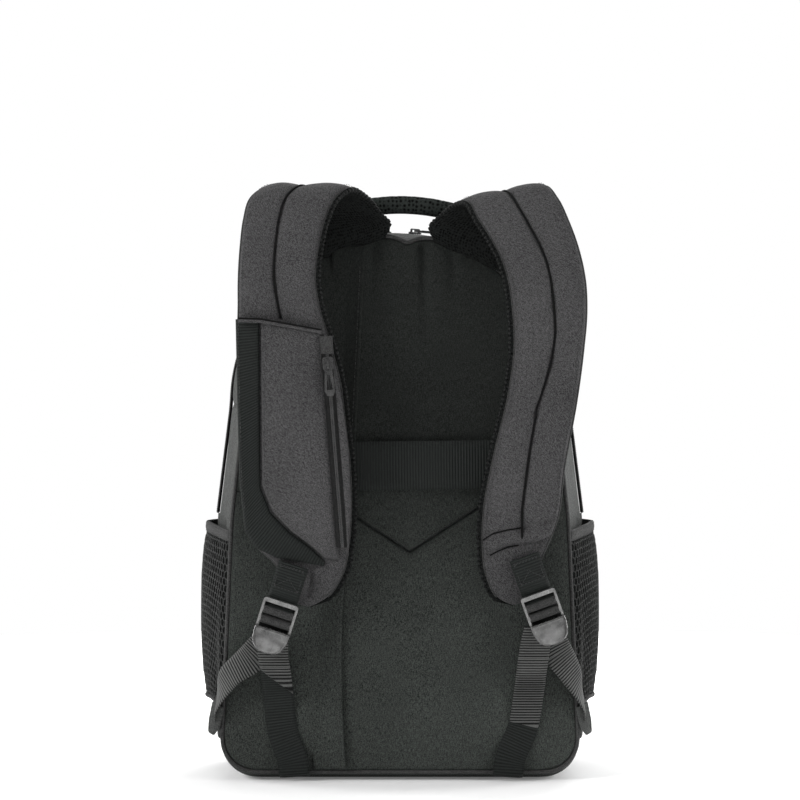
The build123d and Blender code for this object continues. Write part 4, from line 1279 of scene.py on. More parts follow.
# The strap pocket's plane: a runs sideways, b up along the leaning strap, h outward, all from POCKET_AT.
POCKET_X = np.array([1.0, 0.0, 0.0])
POCKET_UP = np.array([0.0, -math.sin(LEAN), math.cos(LEAN)])
POCKET_OUT = np.array([0.0, -math.cos(LEAN), -math.sin(LEAN)])
POCKET_AT = np.array([-90.0, -44.4, 280.0])
POCKET_T = 6.5
POCKET_LEFT = ((-22.0, 101.0), (-22.0, 40.0), (-22.0, -34.0), (-14.0, -55.0), (1.5, -72.0), (18.0, -84.0),
               (30.0, -95.0))
ZIP_TOP = (30.2, 89.8)
ZIP_BOTTOM = (43.4, -85.8)
POCKET_INNER = ((27.0, 94.0), (35.5, 60.0), (43.0, 33.0), (48.0, -6.0), (50.0, -50.0), (47.5, -94.0))


def on_pocket(a, b, h):
    """A point in the strap pocket's plane, or h above it."""
    return POCKET_AT + POCKET_X * a + POCKET_UP * b + POCKET_OUT * h


def zip_a(b):
    """Sideways place of the strap pocket's zipper at height b."""
    t = (b - ZIP_TOP[1]) / (ZIP_BOTTOM[1] - ZIP_TOP[1])
    return ZIP_TOP[0] + t * (ZIP_BOTTOM[0] - ZIP_TOP[0])


PANEL_ROWS = 90
PANEL_COLUMNS = 22


def build_pocket_panel():
    """The strap pocket's crowned panel."""
    left = spaced(POCKET_LEFT, PANEL_ROWS)
    right_b = np.interp(np.linspace(0, 1, PANEL_ROWS), [0, 0.02, 0.97, 1], [92.6, 89.4, -90.0, -96.0])
    right = np.stack([np.where(right_b > 89.0, 27.5, zip_a(right_b) - 3.6), right_b], axis=1)
    u = (1 - np.cos(np.linspace(0, np.pi, PANEL_COLUMNS))) / 2
    dome = np.sin(np.pi * u) ** 0.28
    rows = []
    for i, v in enumerate(np.linspace(0.0, 1.0, PANEL_ROWS)):
        line = left[i] + (right[i] - left[i]) * u[:, None]
        ends = min(1.0, min(v, 1 - v) / 0.035) ** 0.5
        height = 1.2 + (POCKET_T - 1.0) * dome * (0.25 + 0.75 * ends)
        front = [on_pocket(a, b, h) for (a, b), h in zip(line, height)]
        rear = [on_pocket(a, b, 0.4) for a, b in line]
        rows.append(front + rear[::-1])
    obj = fix_outward(grid("strap_pocket_panel", rows, STRAP, ring=True, capped=True))
    row, index = np.divmod(np.arange(len(obj.data.vertices)), 2 * PANEL_COLUMNS)

    def held(p):
        return (index <= 1) | (index >= PANEL_COLUMNS - 2) | (row < 3) | (row > PANEL_ROWS - 4)

    swell(obj, held, cap=2.0)
    p, n = points_of(obj)
    upper = (index > 1) & (index < PANEL_COLUMNS - 2)
    move = roughness_at(p, (0.8, 38.0, 6.6), (0.4, 15.0, 9.9))
    set_points(obj, p + n * (move * upper)[:, None])
    smooth_more(obj)
    finish_piece(obj, "left_strap", ["strap_pocket"])


def build_pocket_strip():
    """Narrow strip of the strap pocket beyond its zipper."""
    strip_b = np.linspace(62.0, -92.0, 80)
    inner = np.array(POCKET_INNER)[::-1]
    start_a = zip_a(strip_b) + 3.4
    edge_a = np.maximum(np.interp(strip_b, inner[:, 1], inner[:, 0]), start_a + 0.6)
    rows = []
    for b, a0, a1 in zip(strip_b, start_a, edge_a):
        wide = a1 - a0
        section = (
            (a0, 1.0), (a0 + 0.1, 4.6), (a0 + wide * 0.25, 5.9), (a0 + wide * 0.6, 6.0), (a1 - 0.3, 5.0),
            (a1 + 0.4, 3.0), (a1, 1.0),
        )
        rows.append([on_pocket(a, b, h) for a, h in section])
    narrow = fix_outward(grid("strap_pocket_edge", rows, STRAP, ring=True, capped=True))
    finish_piece(narrow, "left_strap")


def build_strap_pocket():
    """Flat zipped pocket on the left strap: its panel, top seam, strip, zipper, stitches and zipper end."""
    build_pocket_panel()
    top_line = spaced(((-40.5, 102.0), (-22.0, 101.4), (27.0, 92.6)), 60)
    # The top edge is a near-black cord under the top seam: painted shadow beneath its fold.
    for name, up, high, radius, material in (
        ("strap_pocket_top_seam", -1.6, 6.3, 1.3, STRAP),
        ("strap_pocket_top_edge_shadow", 0.3, 5.9, 0.8, SEAM_SHADOW),
    ):
        line = [on_pocket(a, b + up, high) for a, b in top_line]
        finish_piece(tube(name, line, POCKET_OUT, radius, material), "left_strap")
    build_pocket_strip()

    line_b = np.linspace(ZIP_TOP[1] - 1.0, ZIP_BOTTOM[1] + 1.0, 120)
    path = [on_pocket(zip_a(b), b, POCKET_T - 0.35) for b in line_b]
    tapes = ["strap_pocket_zip_tapes"]
    zip_half("strap_zip_outer", path, POCKET_OUT, -POCKET_X, 5.0, "left_strap", tapes, 0.6, 0.0)
    zip_half("strap_zip_inner", path, POCKET_OUT, POCKET_X, 4.2, "left_strap", [], 0.6, 0.0)

    beside_zip = [on_pocket(zip_a(b) - 5.6, b, POCKET_T + 0.25) for b in np.linspace(86.0, -88.0, 60)]
    edge = [on_pocket(a + 2.4, b + 1.2, 5.6) for a, b in spaced(POCKET_LEFT[:-1], 80)]
    top = [on_pocket(a, b, 6.0) for a, b in spaced(((-20.0, 98.0), (26.0, 91.0)), 30)]
    runs = [(line, POCKET_OUT) for line in (beside_zip, edge, top)]
    finish_piece(stitches("strap_pocket_stitches", runs, radius=0.2), "left_strap")

    section = ((-1.0, -0.6), (-0.9, 0.5), (-0.4, 1.0), (0.4, 1.0), (0.9, 0.5), (1.0, -0.6))
    rows = []
    for b in np.linspace(88.0, 73.5, 14):
        rows.append([on_pocket(zip_a(b) + s * 5.2, b, POCKET_T + h) for s, h in section])
    tab = fix_outward(grid("strap_zip_end_tab", rows, BINDING, ring=True, capped=True))
    finish_piece(tab, "left_strap")


EDGE_WEBBING_INNER = (
    (-23.4, 101.0), (-23.4, 30.0), (-23.4, -36.0), (-15.5, -56.8), (0.0, -73.4), (16.5, -85.6), (29.0, -97.5),
)
EDGE_WEBBING_OUTER = (
    (-42.5, 101.0), (-41.6, 30.0), (-40.5, -30.0), (-36.5, -72.0), (-27.0, -86.5), (-10.0, -94.5), (28.0, -101.5),
)


def build_edge_webbing():
    """Webbing down the left strap's outer edge, turning under the pocket towards the buckle."""
    inner, outer = spaced(EDGE_WEBBING_INNER, 470), spaced(EDGE_WEBBING_OUTER, 470)
    side = np.linspace(0.0, 1.0, 11)
    rim = 1 - np.abs(2 * side - 1) ** 8
    rows = []
    for a_in, a_out, run in zip(inner, outer, lengths_along((inner + outer) / 2)):
        rib = 0.5 + 0.5 * math.sin(2 * math.pi * run / RIB)
        line = a_out + (a_in - a_out) * side[:, None]
        high = 1.1 + 0.9 * rim + 0.38 * rib * rim
        top = [on_pocket(a, b, h) for (a, b), h in zip(line, high)]
        under = [on_pocket(a, b, 0.1) for a, b in line[::-1]]
        rows.append(top + under)
    obj = fix_outward(grid("strap_edge_webbing_band", rows, DARK_AND_SHADED_WEBBING, ring=True, capped=True))
    sew = [on_pocket(a + 2.2, b, 2.3) for a, b in outer[6:300:6]]
    finish_piece(stitches("edge_webbing_stitches", [(sew, POCKET_OUT)], radius=0.2), "left_strap")
    finish_piece(obj, "left_strap", ["strap_edge_webbing"])


# ---- adjusters -------------------------------------------------------------------------------------
def buckle_axes(side):
    """A buckle's middle, and its directions across, up the strap and outward."""
    x, z, tilt = BUCKLES[side]
    t = math.radians(tilt)
    across = np.array([math.cos(t), 0.0, math.sin(t)])
    up = np.array([-math.sin(t), 0.0, math.cos(t)])
    out = np.array([0.0, -1.0, 0.0])
    c, s = math.cos(LEAN), math.sin(LEAN)
    return np.array([x, BUCKLE_Y, z]), across, up * c + out * s, out * c - up * s


def build_buckle_loop(side):
    """Webbing folded round the buckle's top bar and box-stitched to the strap."""
    origin, ax, up, out = buckle_axes(side)
    path = (
        (45.2, -4.4), (30.0, -4.4), (16.0, -4.3), (6.0, -4.1), (2.4, -2.8), (1.3, -0.4), (1.6, 1.6),
        (3.2, 2.9), (5.0, 2.9), (6.8, 1.8), (8.4, -0.9), (11.0, -2.6), (14.6, -2.5), (18.0, -0.6),
        (22.0, 2.0), (30.0, 3.6), (44.6, 3.5), (46.0, 2.8),
    )
    centres = [origin + up * a + out * b for a, b in path]
    rows = webbing_rows(centres, [ax] * len(centres), WEBBING_W, 1.4, step=0.36)
    obj = fix_outward(grid(side + "_buckle_loop_webbing", rows, DARK_AND_SHADED_WEBBING, ring=True, capped=True))
    low_left, low_right, high_right, high_left = (-10.0, 25.5), (10.0, 25.5), (10.0, 43.0), (-10.0, 43.0)
    lines = (
        (low_left, low_right), (low_right, high_right), (high_right, high_left), (high_left, low_left),
        (low_left, high_right), (high_left, low_right), ((-10.5, 44.0), (10.5, 44.0)),
    )
    runs = [([origin + ax * a + up * b + out * 4.75 for a, b in line], out) for line in lines]
    sewing = stitches(side + "_loop_stitches", runs, length=1.9, gap=0.7, radius=0.3)
    finish_piece(sewing, side + "_strap")
    finish_piece(obj, side + "_strap", [side + "_buckle_loop"])


def build_buckle_webbing(side):
    """Where the adjusting webbing passes over and behind the buckle's two lower bars, and the thumb pad."""
    origin, ax, up, out = buckle_axes(side)
    for number, bar in enumerate((4.1, -4.1)):
        half = [(2.7, -2.6), (2.7, -0.4), (2.2, 2.3), (0.9, 3.7)]
        path = half + [(-a, b) for a, b in half[::-1]]
        fine = spaced(through([(0.0, bar + a, b) for a, b in path], 40), 40)
        rows = []
        for s in np.linspace(-1.0, 1.0, 33):
            droop = 0.25 * s * s
            rows.append([origin + ax * (s * 12.3) + up * a + out * (b - droop) for _, a, b in fine])
        obj = thicken(grid(f"{side}_adjuster_wrap_{number}", rows, BINDING, flip=True), 0.9)
        finish_piece(obj, side + "_adjuster")

    # A near-black strip where the webbing runs behind the bars: the webbing is real, and its near-black colour is
    # painted shade.
    section = ((-12.2, -3.0), (12.2, -3.0), (12.2, -3.9), (-12.2, -3.9))
    rows = [[origin + ax * s + up * a + out * b for s, b in section] for a in (9.0, 5.0, 0.0, -5.0, -11.0)]
    behind = fix_outward(grid(side + "_adjuster_webbing_behind_in_shade", rows, SEAM_SHADOW, ring=True, capped=True))
    finish_piece(behind, side + "_adjuster")

    half = [(15.2, -9.9), (15.0, -15.0), (14.2, -20.0), (12.4, -24.4), (9.2, -27.6), (4.6, -29.0),
            (0.0, -29.3)]
    outline_points = half + [(-a, b) for a, b in half[-2::-1]]
    loop = rounded(spaced(closed(outline_points), 120)[:-1])

    def on_tab(a, b, h):
        curl = 0.01225 * (b + 11.0) ** 2
        return origin + ax * a + up * b + out * (3.1 + h + curl)

    pad = plate(side + "_adjuster_thumb_pad", loop, on_tab, 3.0, PAD_PLASTIC, edge=1.5, crown=0.7, rings=14)
    finish_piece(pad, side + "_adjuster")


# How far down from the buckle each webbing's upper length runs, before its lower length runs on to the bag.
BUCKLE_REACH = {"load": 40.0, "tail": 27.0}


def hung(side, name, rows, reach, low, material):
    """Webbing cut in two lengths: the upper one runs down from the buckle as far as reach, the lower one from
    there to the bag. Returns the lower one."""
    rows = np.asarray(rows, float)
    middle = rows.mean(axis=1)
    run = lengths_along(middle)
    cut = int(np.argmin(np.abs(run - reach)))

    def at(distance):
        return tuple(place(middle[int(np.argmin(np.abs(run - distance)))]))

    made = []
    for part, chosen in (("upper", rows[:cut + 1]), ("lower", rows[cut:])):
        obj = fix_outward(weld(grid(f"{name}_{part}", chosen, material, ring=True, capped=True), 0.01))
        made.append(obj)
    first = 16.0 if reach > 30.0 else 2.0
    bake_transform(made[0], side + "_strap", side + "_adjuster", start=at(reach - 4.0), end=at(first))
    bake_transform(made[1], "bag", side + "_strap", start=tuple(place(low)), end=at(reach + 5.0))
    return made[1]


def build_hanging_webbing(side):
    """The load webbing to the bag's lower corner, and its loose tail."""
    origin, ax, up, out = buckle_axes(side)
    start = origin - up * 2.0 - out * 5.0
    # The tail is cut from the darker webbing, as painted shade for the tail hanging in shadow; a lighter layer
    # over its upper length stands for its lit part.
    for kind, table, material in (("load", LOAD_WEBBING, WEBBING), ("tail", TAIL_WEBBING, DARK_AND_SHADED_WEBBING)):
        points = np.array(table[side])
        turn = np.radians(points[:, 3])
        across = np.stack([np.cos(turn), np.sin(turn), np.zeros(len(turn))], axis=1)
        centres = points[:, :3]
        low = centres[-3]
        if kind == "load":
            low = centres[-1]
            centres = np.concatenate([[start], centres])
            across = np.concatenate([[ax], across])
        rows = webbing_rows(centres, across, WEBBING_W, 1.4)
        lower = hung(side, f"{side}_{kind}_strip", rows, BUCKLE_REACH[kind], low, material)
        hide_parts(f"{side}_{kind}_webbing")
        if kind == "tail":
            rows = lit_webbing_layer(side, centres, across)
            hung(side, side + "_tail_turned_end", rows, BUCKLE_REACH[kind], low, WEBBING)


def lit_webbing_layer(side, centres, across):
    """A lighter webbing layer laid over the tail's upper length, with a slanted end: painted light, standing in
    for the lit part of the tail above the edge of its shadow.
    """
    data = through(np.concatenate([centres, across], axis=1), 420)
    c, a = data[:, :3], unit(data[:, 3:6])
    along = unit(np.gradient(c, axis=0))
    out = unit(np.cross(along, a))
    out *= np.sign(-out[:, 1])[:, None]
    run = lengths_along(c)
    inner = 1.0 if side == "left" else -1.0
    outer_length, inner_length = (28.0, 52.0) if side == "left" else (90.0, 84.0)

    def along_tail(values, far):
        return np.array([np.interp(far, run, values[:, axis]) for axis in range(3)])

    rows = []
    for t in np.linspace(0.0, max(outer_length, inner_length), 240):
        top, under = [], []
        for s in np.linspace(-1.0, 1.0, 11):
            far = min(t, outer_length + (inner_length - outer_length) * (0.5 + 0.5 * s * inner))
            up = along_tail(out, far)
            rib = 0.3 * math.sin(2 * math.pi * far / RIB)
            rim = 1.0 - abs(s) ** 8
            point = along_tail(c, far) + along_tail(a, far) * (s * WEBBING_W / 2)
            top.append(point + up * (1.5 + (0.5 + rib) * rim))
            under.append(point + up * 0.9)
        rows.append(top + under[::-1])
    return rows


# ---- handle ----------------------------------------------------------------------------------------
HANDLE_SIDES = 28


def build_handle():
    """Padded carrying loop with a mesh cover."""
    half = [(-62.0, 449.6), (-60.2, 453.5), (-57.5, 458.5), (-53.0, 465.5), (-46.0, 471.2), (-34.0, 474.6),
            (-18.0, 477.2), (0.0, 478.2)]
    path = half + [(-x, z) for x, z in half[-2::-1]]
    centres = through([(x, 20.0, z) for x, z in path], 150)
    along = unit(np.gradient(centres, axis=0))
    across = np.broadcast_to(np.array([0.0, 1.0, 0.0]), centres.shape)
    out = unit(np.cross(along, across))
    angles = np.linspace(0, 2 * np.pi, HANDLE_SIDES, endpoint=False)
    sideways, upward = (np.copysign(np.abs(v) ** 0.75, v)[:, None] for v in (np.cos(angles), np.sin(angles)))
    rows = []
    for i, (c, a, o) in enumerate(zip(centres, across, out)):
        end = np.clip(min(i, len(centres) - 1 - i) / 16.0, 0.0, 1.0)
        wide, high = 7.6 * (0.9 + 0.1 * end), 1.4 + 5.7 * end ** 0.7
        rows.append(c + a * wide * sideways + o * high * upward)
    obj = fix_outward(grid("grab_handle_pad", rows, HANDLE_MESH, ring=True, capped=True))
    row, index = np.divmod(np.arange(len(obj.data.vertices)), HANDLE_SIDES)

    def held(p):
        underside = index == HANDLE_SIDES * 3 // 4
        return (row < 8) | (row > 141) | underside

    swell(obj, held, cap=1.0)
    crumple(obj, 0.28, 3.2, 7.7)
    smooth_more(obj)
    finish_piece(obj, "handle", ["grab_handle"])
    down = -1.0 if out[75][2] > 0 else 1.0
    seam = centres[16:-16] + out[16:-16] * 6.9 * down
    cord = tube("grab_handle_seam", seam, (0, 0, -1), 0.9, DARK_BINDING)
    finish_piece(cord, "handle")


def gusset_z(x, y):
    """Height of the bag's round top."""
    arch, spring = bag_values(y)[:2]
    return spring + math.sqrt(max(arch * arch - x * x, 0.0))


def build_handle_feet():
    """Webbing patches sewn over the handle's two ends."""
    parts, runs = [], []
    ys = np.linspace(11.5, 30.5, 9)
    edge = 1 - np.abs(np.linspace(-1.0, 1.0, 9)) ** 8
    for sign in (-1.0, 1.0):
        rows = []
        for k, x in enumerate(np.linspace(50.5, 73.5, 56)):
            rib = 0.3 * (0.5 + 0.5 * math.sin(2 * math.pi * k / 56 * 23.0 / RIB))
            lift = (1.1 + rib) * (1 - abs(2 * k / 55 - 1) ** 10) * edge
            top = [(sign * x, y, gusset_z(x, y) + 0.5 + h) for y, h in zip(ys, lift)]
            under = [(sign * x, y, gusset_z(x, y) - 0.4) for y in ys[::-1]]
            rows.append(top + under)
        parts.append(fix_outward(grid("foot", rows, DARK_AND_SHADED_WEBBING, ring=True, capped=True)))
        box = ((53.0, 13.5), (71.0, 13.5), (71.0, 28.5), (53.0, 28.5), (53.0, 13.5))
        for a, b in zip(box, box[1:]):
            line = [(sign * x, y, gusset_z(x, y) + 2.0) for x, y in spaced((a, b), 8)]
            runs.append((line, (sign * 0.4, 0, 1)))
    obj = join("handle_feet_patches", parts)
    finish_piece(obj, "bag", ["handle_feet"])
    finish_piece(stitches("handle_feet_stitches", runs), "bag")


# ---- bottle pockets --------------------------------------------------------------------------------
POCKET_TOP = 212.0
HEM = 9.0
# How far the pocket bows out at each height.
POCKET_BOW = (
    (50.0, 0.45), (64.0, 0.62), (84.0, 0.92), (110.0, 1.06), (165.0, 1.06), (188.0, 0.9), (212.0, 0.34),
)


def pocket_path(z):
    """(x, y) of the right bottle pocket's wall at a height, from the back seam to the front seam."""
    bow = np.interp(z, *zip(*POCKET_BOW))
    edge_in = side_x(12.0, z)
    edge_out = side_x(134.0, z)
    more = 7.0 * (bow - 0.5)
    points = [
        (edge_in - 0.6, 9.5), (edge_in + 3.2 * bow, 14.0), (148.0 + 8.0 * (bow - 0.5), 26.0),
        (157.0 + more, 46.0), (163.8 + more, 72.0), (160.2 + more, 98.0), (151.6 + more, 118.0),
        (edge_out - 0.6, 134.0),
    ]
    return spaced(through([(x, y, 0.0) for x, y in points], 160)[:, :2], 120)


def side_x(y, z):
    """Half width of the bag at a depth and height, on its straight sides."""
    arch, spring, waist, foot, bottom, corner = bag_values(y)
    if z < WAIST_Z:
        return float(np.interp(z, [bottom + corner, WAIST_Z], [foot, waist]))
    return float(np.interp(z, [WAIST_Z, spring], [waist, arch]))


def pocket_top_z(y):
    """Height of the bottle pocket's opening, lower towards the back."""
    return POCKET_TOP - 5.0 * np.clip((62.0 - y) / 50.0, 0.0, 1.0)


def pocket_low_z(y):
    """Height of the bottle pocket's floor."""
    return 64.0 - 17.0 * np.clip((48.0 - y) / 38.0, 0.0, 1.0) ** 1.2


def pocket_point(a, t):
    """Point of the right pocket's wall: a from 0 to 1 along its width, t from 0 at the hem's foot to 1 at the
    floor."""
    near_y = np.interp(a, np.linspace(0, 1, len(MIDDLE_PATH)), MIDDLE_PATH[:, 1])
    top, low = pocket_top_z(near_y) - HEM, pocket_low_z(near_y)
    z = top + (low - top) * t
    path = POCKET_PATHS[int(np.clip((z - 40.0) / 4.0, 0, len(POCKET_PATHS) - 1))]
    x = np.interp(a, np.linspace(0, 1, len(path)), path[:, 0])
    y = np.interp(a, np.linspace(0, 1, len(path)), path[:, 1])
    belly = 1.6 * math.sin(math.pi * t) * math.sin(math.pi * a)
    return np.array([x + belly, y, z])


POCKET_PATHS = [pocket_path(z) for z in np.arange(40.0, 216.0, 4.0)]
MIDDLE_PATH = pocket_path(140.0)


def hexagon_net(name, sign):
    """Real net of elongated hexagon holes, stretched over the pocket's wall."""
    width, height = 148.0, 145.0
    cell = np.array([5.4, 7.4])
    corners = ((0, -0.5), (0.5, -0.25), (0.5, 0.25), (0, 0.5), (-0.5, 0.25), (-0.5, -0.25))
    verts, faces, known = [], [], {}
    for j in range(int(height / (cell[1] * 0.75)) + 1):
        for i in range(int(width / cell[0]) + 1):
            middle = cell * (i + 0.5 * (j % 2), 0.75 * j)
            ring = []
            for corner in corners:
                spot = np.clip(middle + cell * corner, 0.0, (width, height))
                key = tuple(np.round(spot, 2))
                if key not in known:
                    known[key] = len(verts)
                    a, t = spot / (width, height)
                    verts.append(pocket_point(a, t) * (sign, 1.0, 1.0))
                if known[key] not in ring:
                    ring.append(known[key])
            if len(ring) > 2:
                faces.append(ring)
    obj = object_from(name, place(verts), faces, None, NET)
    wire = obj.modifiers.new("threads", "WIREFRAME")
    wire.thickness = 1.5 * MM
    wire.use_even_offset = False
    wire.use_boundary = True
    return baked(obj)


def build_bottle_pocket(side):
    """Net pocket on a side of the bag: net, backing, hem, floor and the binding at its foot."""
    sign = -1.0 if side == "left" else 1.0
    net = hexagon_net(side + "_bottle_pocket_net", sign)
    finish_piece(net, "bag", [side + "_bottle_pocket"])
    rows = []
    for t in np.linspace(0.0, 1.0, 40):
        row = [pocket_point(a, t) for a in np.linspace(0.0, 1.0, 70)]
        rows.append([(sign * (x - 1.3), y, z) for x, y, z in row])
    backing = thicken(grid(side + "_pocket_backing", rows, AIR_MESH, flip=sign < 0), 0.5)
    finish_piece(backing, "bag")

    top = [pocket_point(a, 0.0) for a in np.linspace(0.0, 1.0, 110)]

    def on_hem(q, lift):
        puff = 0.9 * math.sin(math.pi * q) + lift
        return [(sign * (x + puff), y, z + HEM * q) for x, y, z in top]

    rows = [on_hem(q, 0.5) for q in np.linspace(0.0, 1.0, 13)]
    inner = [[(sign * (abs(x) - 2.2), y, z) for x, y, z in row] for row in rows[::-1]]
    loops = [list(col) for col in zip(*(rows + inner))]
    hem = fix_outward(grid(side + "_pocket_hem", loops, BINDING, ring=True, capped=True))
    finish_piece(hem, "bag", [side + "_pocket_binding"])
    runs = [(on_hem(q, 0.65)[2:-2], (sign, -0.3, 0)) for q in (0.12, 0.86)]
    finish_piece(stitches(side + "_hem_stitches", runs), "bag")

    rows = []
    for x, y, z in (pocket_point(a, 1.0) for a in np.linspace(0.0, 1.0, 60)):
        inside = side_x(y, z) - 1.0
        row = []
        for q in np.linspace(0.0, 1.0, 8):
            sag = 2.4 * math.sin(math.pi * q) + 7.0 * q
            row.append((sign * (x + 0.5 + (inside - x - 0.5) * q), y, z + 0.5 - sag))
        rows.append(row)
    floor = thicken(grid(side + "_pocket_floor", rows, SIDE, flip=sign > 0), 1.2, inward=False)
    finish_piece(floor, "bag")
    foot = [pocket_point(a, 1.0) for a in np.linspace(0.0, 1.0, 80)]
    roll_path = [(sign * (x + 0.3), y, z) for x, y, z in foot]
    roll = tube(side + "_pocket_foot_binding", roll_path, (sign, 0, 0), 1.7, BINDING)
    finish_piece(roll, "bag")


def build_anchor_tab(side):
    """Fabric triangle low on the side, with the load webbing sewn into it."""
    sign = -1.0 if side == "left" else 1.0
    corners = ((10.5, 63.0), (26.0, 56.0), (46.0, 42.0), (43.0, 33.5), (26.0, 33.0), (10.5, 33.5))
    loop = rounded(spaced(closed(corners), 80)[:-1], 2)

    def on_side(a, b, h):
        return (sign * (side_x(a, b) + 0.3 + h), a, b)

    obj = plate(side + "_anchor_tab_cloth", loop, on_side, 2.4, SIDE, edge=2.0, crown=1.2, rings=8)
    finish_piece(obj, "bag", [side + "_anchor_tab"])
    runs = []
    for line in (((14.0, 58.0), (26.0, 52.5), (40.0, 42.5)), ((13.5, 58.0), (13.5, 36.5))):
        runs.append(([on_side(a, b, 2.7) for a, b in spaced(line, 20)], (sign, 0, 0)))
    finish_piece(stitches(side + "_tab_stitches", runs), "bag")


def build_anchor_fold(side):
    """Folded end of the anchor's fabric, standing out of the side seam below the bottle pocket."""
    sign = -1.0 if side == "left" else 1.0
    middle = np.array([sign * 153.5, 6.0, 50.0])
    wide = unit(np.array([sign * 0.78, 0.50, 0.26]))
    down = unit(np.array([sign * 0.22, 0.10, -0.97]))
    out = unit(np.cross(wide, down))
    out *= math.copysign(1.0, -out[1])
    corners = ((-6.0, -12.0), (6.5, -14.0), (6.0, 2.0), (3.5, 12.0), (-3.0, 13.0), (-6.5, 4.0))
    loop = rounded(spaced(closed(corners), 70)[:-1], 2)

    def on_fold(a, b, h):
        return middle + wide * a + down * b + out * (h - 0.03 * a * a)

    obj = plate(side + "_anchor_fold", loop, on_fold, 2.0, SIDE, edge=1.0, crown=0.4, rings=8)
    finish_piece(obj, "bag")
    edge = [on_fold(a, b, 2.3) for a, b in spaced(((3.6, -11.0), (3.4, 2.0), (1.6, 10.0)), 16)]
    finish_piece(stitches(side + "_anchor_fold_stitches", [(edge, out)], radius=0.2), "bag")


# ---- front -----------------------------------------------------------------------------------------
FRONT_W = 226.0
FRONT_LOW, FRONT_HIGH = 20.0, 204.0
FRONT_MIDDLE = np.array([0.0, (FRONT_LOW + FRONT_HIGH) / 2])
FRONT_ZIP_Y = 170.0
FRONT_FACE_Y = 187.0


def front_ring(scale=1.0):
    """The front pocket's outline as (x, z), drawn in towards its middle."""
    loop = rounded_rectangle(FRONT_W, FRONT_HIGH - FRONT_LOW, 26.0, 16, 26)
    return FRONT_MIDDLE + loop * scale


def build_front_gusset():
    """The front pocket's sides, from the bag to the zipper all round, and on to the face at its floor."""
    rows = []
    for y in np.linspace(150.4, 183.0, 26):
        bulge = 1.0 - 0.004 * math.sin((y - FRONT_Y) / 6.0)
        rows.append([(x * bulge, y, z) for x, z in front_ring()])
    whole = grid("rim", rows, SIDE, ring=True, flip=True)
    under_tape = 161.6
    sides = panel("front_pocket_gusset", whole, [
        ((None, None, None), (None, under_tape, None)),
        ((None, under_tape, None), (None, 180.0, 49.0)),
    ], SIDE)
    bpy.data.objects.remove(whole)
    tuck(sides, seam_distance([(1, 150.4)]), 0.6, 1.4)
    tuck(sides, seam_distance([(1, under_tape)]), 1.8, 1.9)
    thicken(sides, 1.8, LINING)
    finish_piece(sides, "bag", ["front_pocket_rim"])


def build_front_face():
    """The front pocket's face, with a round edge and a soft crown, and one row of stitches."""
    half_height = (FRONT_HIGH - FRONT_LOW) / 2
    sections = [(178.4, 1.8), (179.6, 1.5), (180.6, 0.2), (181.5, 0.0), (183.0, 0.0)]
    for angle in np.radians(np.linspace(15.0, 90.0, 6)):
        sections.append((183.0 + 4.0 * math.sin(angle), 4.0 * (1 - math.cos(angle))))
    rows = [[(x, y, z) for x, z in front_ring(1.0 - drawn_in / half_height)] for y, drawn_in in sections]
    for k in (*np.linspace(0.9, 0.15, 20), 0.05):
        rows.append([(x, FRONT_FACE_Y + 5.5 * (1 - k ** 2.2), z) for x, z in front_ring(k)])
    face = grid("front_pocket_face_cloth", rows, SIDE, ring=True, capped=True, flip=True)
    cut_box(face, (None, None, FRONT_LOW + 4.5), (None, None, None))
    p, n = points_of(face)
    move = roughness_at(p, (1.7, 55.0, 5.4), (0.7, 22.0, 3.3)) * np.clip((p[:, 1] - 182.0) / 5.0, 0.0, 1.0)
    set_points(face, p + n * move[:, None])
    thicken(face, 1.8, LINING)
    finish_piece(face, "front_pocket_lid", ["front_pocket_face"])

    line = front_ring(0.90)
    line = from_gap(line[line[:, 1] > 34.0])
    run = ([(x, FRONT_FACE_Y + 1.5, z) for x, z in line], (0, 1, 0))
    finish_piece(stitches("front_pocket_stitches", [run]), "front_pocket_lid")


def build_front_pocket():
    """Zipped pocket on the bag's front; its face folds down at its foot."""
    build_front_gusset()
    build_front_face()
    ring = spaced(closed(front_ring()), 2000)[:-1]
    ring = np.roll(ring, -int(np.argmin(ring[:, 1])), axis=0)
    path, outward = zip_line(spaced(ring[ring[:, 1] > 50.0], 300), FRONT_ZIP_Y, 110.0)
    rear, face = ["front_zip_rear_tape"], ["front_zip_face_tape"]
    zip_half("front_zip_rear", path, outward, (0, -1, 0), TAPE_EDGE, "bag", rear, 0.7, 0.0)
    zip_half("front_zip_face", path, outward, (0, 1, 0), TAPE_EDGE, "front_pocket_lid", face, 0.7, 0.0)


SLIT_Z = 330.0
SLIT_Y = 154.0
SLIT_OUTER = np.array([194.0, 44.0])
SLIT_INNER = np.array([173.0, 12.5])


